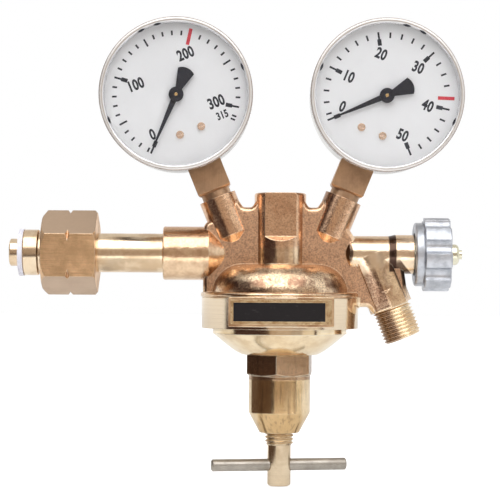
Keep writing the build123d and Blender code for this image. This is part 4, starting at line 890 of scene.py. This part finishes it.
# Numeral: the font's outline made a thin mesh, centred, brought to its height, narrowed and set on the dial
# at (radius·sin angle, radius·cos angle).
def numeralMesh(name, words, angle, radius, height):
    curve = bpy.data.curves.new("numeral", "FONT")
    curve.body = words
    for word, value in dialPrint["letters"].items():
        setattr(curve, word, value)
    holder = bpy.data.objects.new("numeral", curve)
    bpy.context.scene.collection.objects.link(holder)
    bpy.context.view_layer.update()
    mesh = bpy.data.meshes.new_from_object(holder.evaluated_get(bpy.context.evaluated_depsgraph_get()))
    bpy.data.objects.remove(holder)
    flat = np.empty(len(mesh.vertices) * 3)
    mesh.vertices.foreach_get("co", flat)
    flat = flat.reshape(-1, 3)
    flat -= (flat.min(axis=0) + flat.max(axis=0)) / 2
    size = height / (flat[:, 1].max() - flat[:, 1].min())
    flat[:, 0] = flat[:, 0] * size * dialPrint["narrow"] + radius * math.sin(math.radians(angle))
    flat[:, 1] = flat[:, 1] * size + radius * math.cos(math.radians(angle))
    flat[:, 2] = dialPrint["face"] + dialPrint["thick"] * (flat[:, 2] > 0)
    mesh.vertices.foreach_set("co", (onDial(name, flat) * millimetre).ravel())
    mesh.materials.clear()
    return mesh


for gauge in gauges:
    scale = dialPrint[gauge]
    firstValue, firstAngle = scale["first"]
    reading = {value: firstAngle + (value - firstValue) * scale["step"] for value in scale["ticks"]}
    reading[scale["zero"][0]] = scale["zero"][1]
    reading[scale["last"][0]] = scale["last"][1]
    bars = [(angle, *scale["long" if value in scale["longTicks"] else "tick"], dialPrint["tickWidth"])
            for value, angle in reading.items() if value not in scale["boldAt"] + scale["skip"]]
    bars += [(reading[value], *dialPrint["bold"], dialPrint["boldWidth"]) for value in scale["boldAt"]]
    bars += [(reading[value], *dialPrint["thin"], dialPrint["fineWidth"]) for value in scale["boldAt"]]
    figures = [numeralMesh(gauge, words, *spot,
                           dialPrint["smallHeight" if words in scale["small"] else "numeralHeight"])
               for words, spot in scale["numerals"].items()]
    makePiece(gauge + "_dial_print", [barMesh(gauge, bars), *figures], finishes["dial_ink"], "regulator")
    red = [(scale["redAt"], *dialPrint["red"])]
    makePiece(gauge + "_red_mark", [barMesh(gauge, red)], finishes["dial_red"], "regulator")
print("dials printed")

# White ring that closes the gap between the dial and its case
dialRing = {"inner": 28.4, "outer": 29.65, "back": 10.9, "front": 11.48, "segments": 96}


# Ring: the profile (radius, depth) carried round the gauge centre: (r sin turn, r cos turn, depth).
def ringMesh(name):
    turn = np.linspace(0.0, 2 * np.pi, dialRing["segments"], endpoint=False)[:, None]
    radius = np.array([[dialRing[word] for word in ("inner", "inner", "outer", "outer")]])
    depth = np.array([[dialRing[word] for word in ("back", "front", "front", "back")]])
    shell = np.stack([radius * np.sin(turn), radius * np.cos(turn), depth + 0 * turn], axis=-1)
    return gridMesh(name, onDial(name, shell), True, True)


for gauge in gauges:
    makePiece(gauge + "_dial_ring", [ringMesh(gauge)], finishes["dial_white"], "regulator", 40)
print("dial rings closed")

# Black pieces on the front of each window's rim: painted shade standing for the case's notches
rimNotch = {
    "radius": 28.7,
    "length": 3.4,
    "width": 0.9,
    "front": 18.03,
    "thick": 0.12,
    "angles": (-7.0, 7.0, 90.0, 270.0),
}


# Lens: two arcs, half width = width/2·(1 − t²) along t from −1 to 1, given a little thickness.
def notchMesh(name, angle):
    t = np.linspace(-1.0, 1.0, 13)[:, None]
    across = np.linspace(-1.0, 1.0, 3)[None, :]
    radius = rimNotch["radius"] + across * rimNotch["width"] / 2 * (1 - t * t)
    turn = math.radians(angle) + t * rimNotch["length"] / 2 / rimNotch["radius"] + across * 0
    depth = np.full_like(radius, rimNotch["front"])
    top = np.stack([radius * np.sin(turn), radius * np.cos(turn), depth], axis=-1)
    back = top - np.array((0.0, 0.0, rimNotch["thick"]))
    shell = np.concatenate([top, back[:, ::-1]], axis=1)
    return gridMesh(name, onDial(name, shell), False, True)


for gauge in gauges:
    makePiece(gauge + "_rim_notches", [notchMesh(gauge, angle) for angle in rimNotch["angles"]],
              finishes["pointer_black"], "regulator")
print("rim marks set")

# Floor, pale surroundings, cards, lamps and camera, in metres
studio = {
    "floorZ": cadLow[2] - 0.0006,
    "floorCentre": (0.09, 0.0),
    "floorSize": 6.0,
    "floorColour": (0.82, 0.82, 0.82),
    "floorPale": (0.84, 0.84, 0.84),
    "floorLift": 0.78,
    "floorGloss": 0.3,
    "worldLight": 0.58,
    "worldSeen": 1.0,
    "worldGloss": 1.0,
    "cardCentre": (0.1, 0.0),
    "cardLift": 0.002,
}


# Share of the pale background that a ray sees: all for camera and transmission rays, a part for glossy rays.
def seenShare(start, glossyPart):
    direct = start.sums("MAXIMUM", rayIs(start, "Camera"), rayIs(start, "Transmission"))
    return start.sums("MAXIMUM", direct, rayIs(start, "Glossy") * glossyPart)


world = bpy.data.worlds.new("studio_world")
bpy.context.scene.world = world
world.use_nodes = True
worldShader = world.node_tree.nodes["Background"]
worldShader.inputs["Color"].default_value = (1, 1, 1, 1)
worldLevel = seenShare(Signal(world.node_tree), studio["worldGloss"])
worldLevel = worldLevel.span(0, 1, studio["worldLight"], studio["worldSeen"])
world.node_tree.links.new(worldLevel.socket, worldShader.inputs["Strength"])


# A surface that belongs to the studio and not to the object.
def stageMesh(mesh, material):
    mesh.materials.append(material)
    shown = bpy.data.objects.new(mesh.name, mesh)
    bpy.context.scene.collection.objects.link(shown)


# Flat card: the four corners centre ± half·across ± half·up.
def flatCard(name, centre, across, up, material):
    centre, across, up = (np.array(part, dtype=float) for part in (centre, across, up))
    left = [centre - across - up, centre - across + up]
    right = [centre + across - up, centre + across + up]
    stageMesh(gridMesh(name, np.array([left, right]) / millimetre), material)


floorFinish, floorShader, floorPlace = newFinish("floor_finish")
floorTone = floorPlace.noise(0.004, 2.0, 0.5).step(0.3, 0.7).tint(studio["floorColour"], studio["floorPale"])
plug(floorShader, colour=floorTone, rough=0.9)
floorStart = Signal(floorFinish.node_tree)
floorGlow = seenShare(floorStart, studio["floorGloss"]) * studio["floorLift"]
lift = floorStart.add("Emission", {}, {"Strength": floorGlow})
matt = Signal(floorStart.tree, floorShader.outputs[0])
showAs(floorFinish, floorStart.add("AddShader", {}, {0: matt, 1: lift}))
half = studio["floorSize"] / 2
flatCard("floor", (*studio["floorCentre"], studio["floorZ"]), (half, 0, 0), (0, half, 0), floorFinish)


# Card of soft light or shade: glows evenly, and only shiny surfaces see it.
def cardFinish(name, level):
    material, shader, place = newFinish(name)
    start = Signal(material.node_tree)
    glow = place.noise(0.004, 2.0, 0.5).tint(tuple(0.9 * part for part in level), level)
    shine = start.add("Emission", {}, {"Color": glow, "Strength": 1.0})
    clear = start.add("BsdfTransparent")
    showAs(material, start.add("MixShader", {}, {0: rayIs(start, "Glossy"), 1: clear, 2: shine}))
    return material


# Arc card: radius and height run along its path while the bearing turns; the point is
# centre + radius·(sin bearing, −cos bearing), height.
def arcCard(name, card):
    bearing = np.radians(np.linspace(*card["bearing"], 17))[:, None]
    path = np.array(card["path"])[None]
    x = studio["cardCentre"][0] + path[..., 0] * np.sin(bearing)
    y = studio["cardCentre"][1] - path[..., 0] * np.cos(bearing)
    mesh = gridMesh(name, np.stack([x, y, path[..., 1] + 0 * bearing], axis=-1) / millimetre)
    stageMesh(mesh, cardFinish(name, card["level"]))


# Bearings in degrees from straight in front; each path is pairs of radius and height
foot = studio["floorZ"] + studio["cardLift"]
arcCards = {
    "flag_dark": {"bearing": (-86, -18), "path": ((0.25, foot), (1.1, foot), (1.1, 0.42)),
                  "level": (0.06, 0.034, 0.03)},
    "card_brown": {"bearing": (-18, 19), "path": ((0.25, foot), (1.1, foot), (1.1, 0.44)),
                   "level": (0.55, 0.45, 0.37)},
    "card_gold": {"bearing": (19, 60), "path": ((0.3, foot), (1.1, foot)), "level": (0.46, 0.40, 0.36)},
    "card_tan": {"bearing": (19, 38), "path": ((1.1, foot), (1.1, 0.44)), "level": (0.48, 0.41, 0.36)},
    "card_cream": {"bearing": (38, 60), "path": ((1.1, foot), (1.1, 0.44)), "level": (0.82, 0.74, 0.64)},
    "flag_high": {"bearing": (-115, -55), "path": ((0.6, 0.06), (0.6, 0.5)), "level": (0.07, 0.04, 0.035)},
    "flag_thin": {"bearing": (60, 65), "path": ((0.5, foot), (1.1, foot), (1.1, 0.35)),
                  "level": (0.10, 0.06, 0.05)},
}
flatCards = {
    "flag_side": {"centre": (0.03, -0.04, -0.072), "across": (0, 0.09, 0), "up": (0, 0, 0.022),
                  "level": (0.15, 0.10, 0.075)},
    "card_above": {"centre": (0.1, 0.78, 1.0), "across": (1.3, 0, 0), "up": (0, 0.9, 0),
                   "level": (0.78, 0.74, 0.70)},
}
for word, card in arcCards.items():
    arcCard(word, card)
for word, card in flatCards.items():
    flatCard(word, card["centre"], card["across"], card["up"], cardFinish(word, card["level"]))

lamps = {
    "lamp_top": {"place": (0.06, -0.55, 0.72), "aim": (0.1, 0.0, 0.0), "size": (1.3, 0.9), "power": 7.3},
    "lamp_low": {"place": (0.185, -0.21, -0.09), "aim": (0.185, -0.21, 0.1), "size": (0.37, 0.12),
                 "power": 0.16},
}
for word, lamp in lamps.items():
    light = bpy.data.lights.new(word, "AREA")
    light.shape = "RECTANGLE"
    light.size, light.size_y = lamp["size"]
    light.energy = lamp["power"]
    holder = bpy.data.objects.new(word, light)
    bpy.context.scene.collection.objects.link(holder)
    away = Vector(lamp["place"]) - Vector(lamp["aim"])
    holder.location = lamp["place"]
    holder.rotation_euler = away.to_track_quat("Z", "Y").to_euler()
    holder.visible_camera = False

cameraLook = {
    "place": (0.0944, -0.720, -0.0088),
    "pitch": 0.816,
    "roll": -0.33,
    "lens": 126.4,
    "sensor": 36.0,
}
cameraData = bpy.data.cameras.new("camera")
cameraData.sensor_width = cameraLook["sensor"]
cameraData.lens = cameraLook["lens"]
camera = bpy.data.objects.new("camera", cameraData)
bpy.context.scene.collection.objects.link(camera)
camera.location = cameraLook["place"]
camera.rotation_euler = (math.radians(90 + cameraLook["pitch"]), math.radians(cameraLook["roll"]), 0.0)
bpy.context.scene.camera = camera
bpy.context.scene.view_settings.view_transform = "Standard"
print("studio and camera ready")
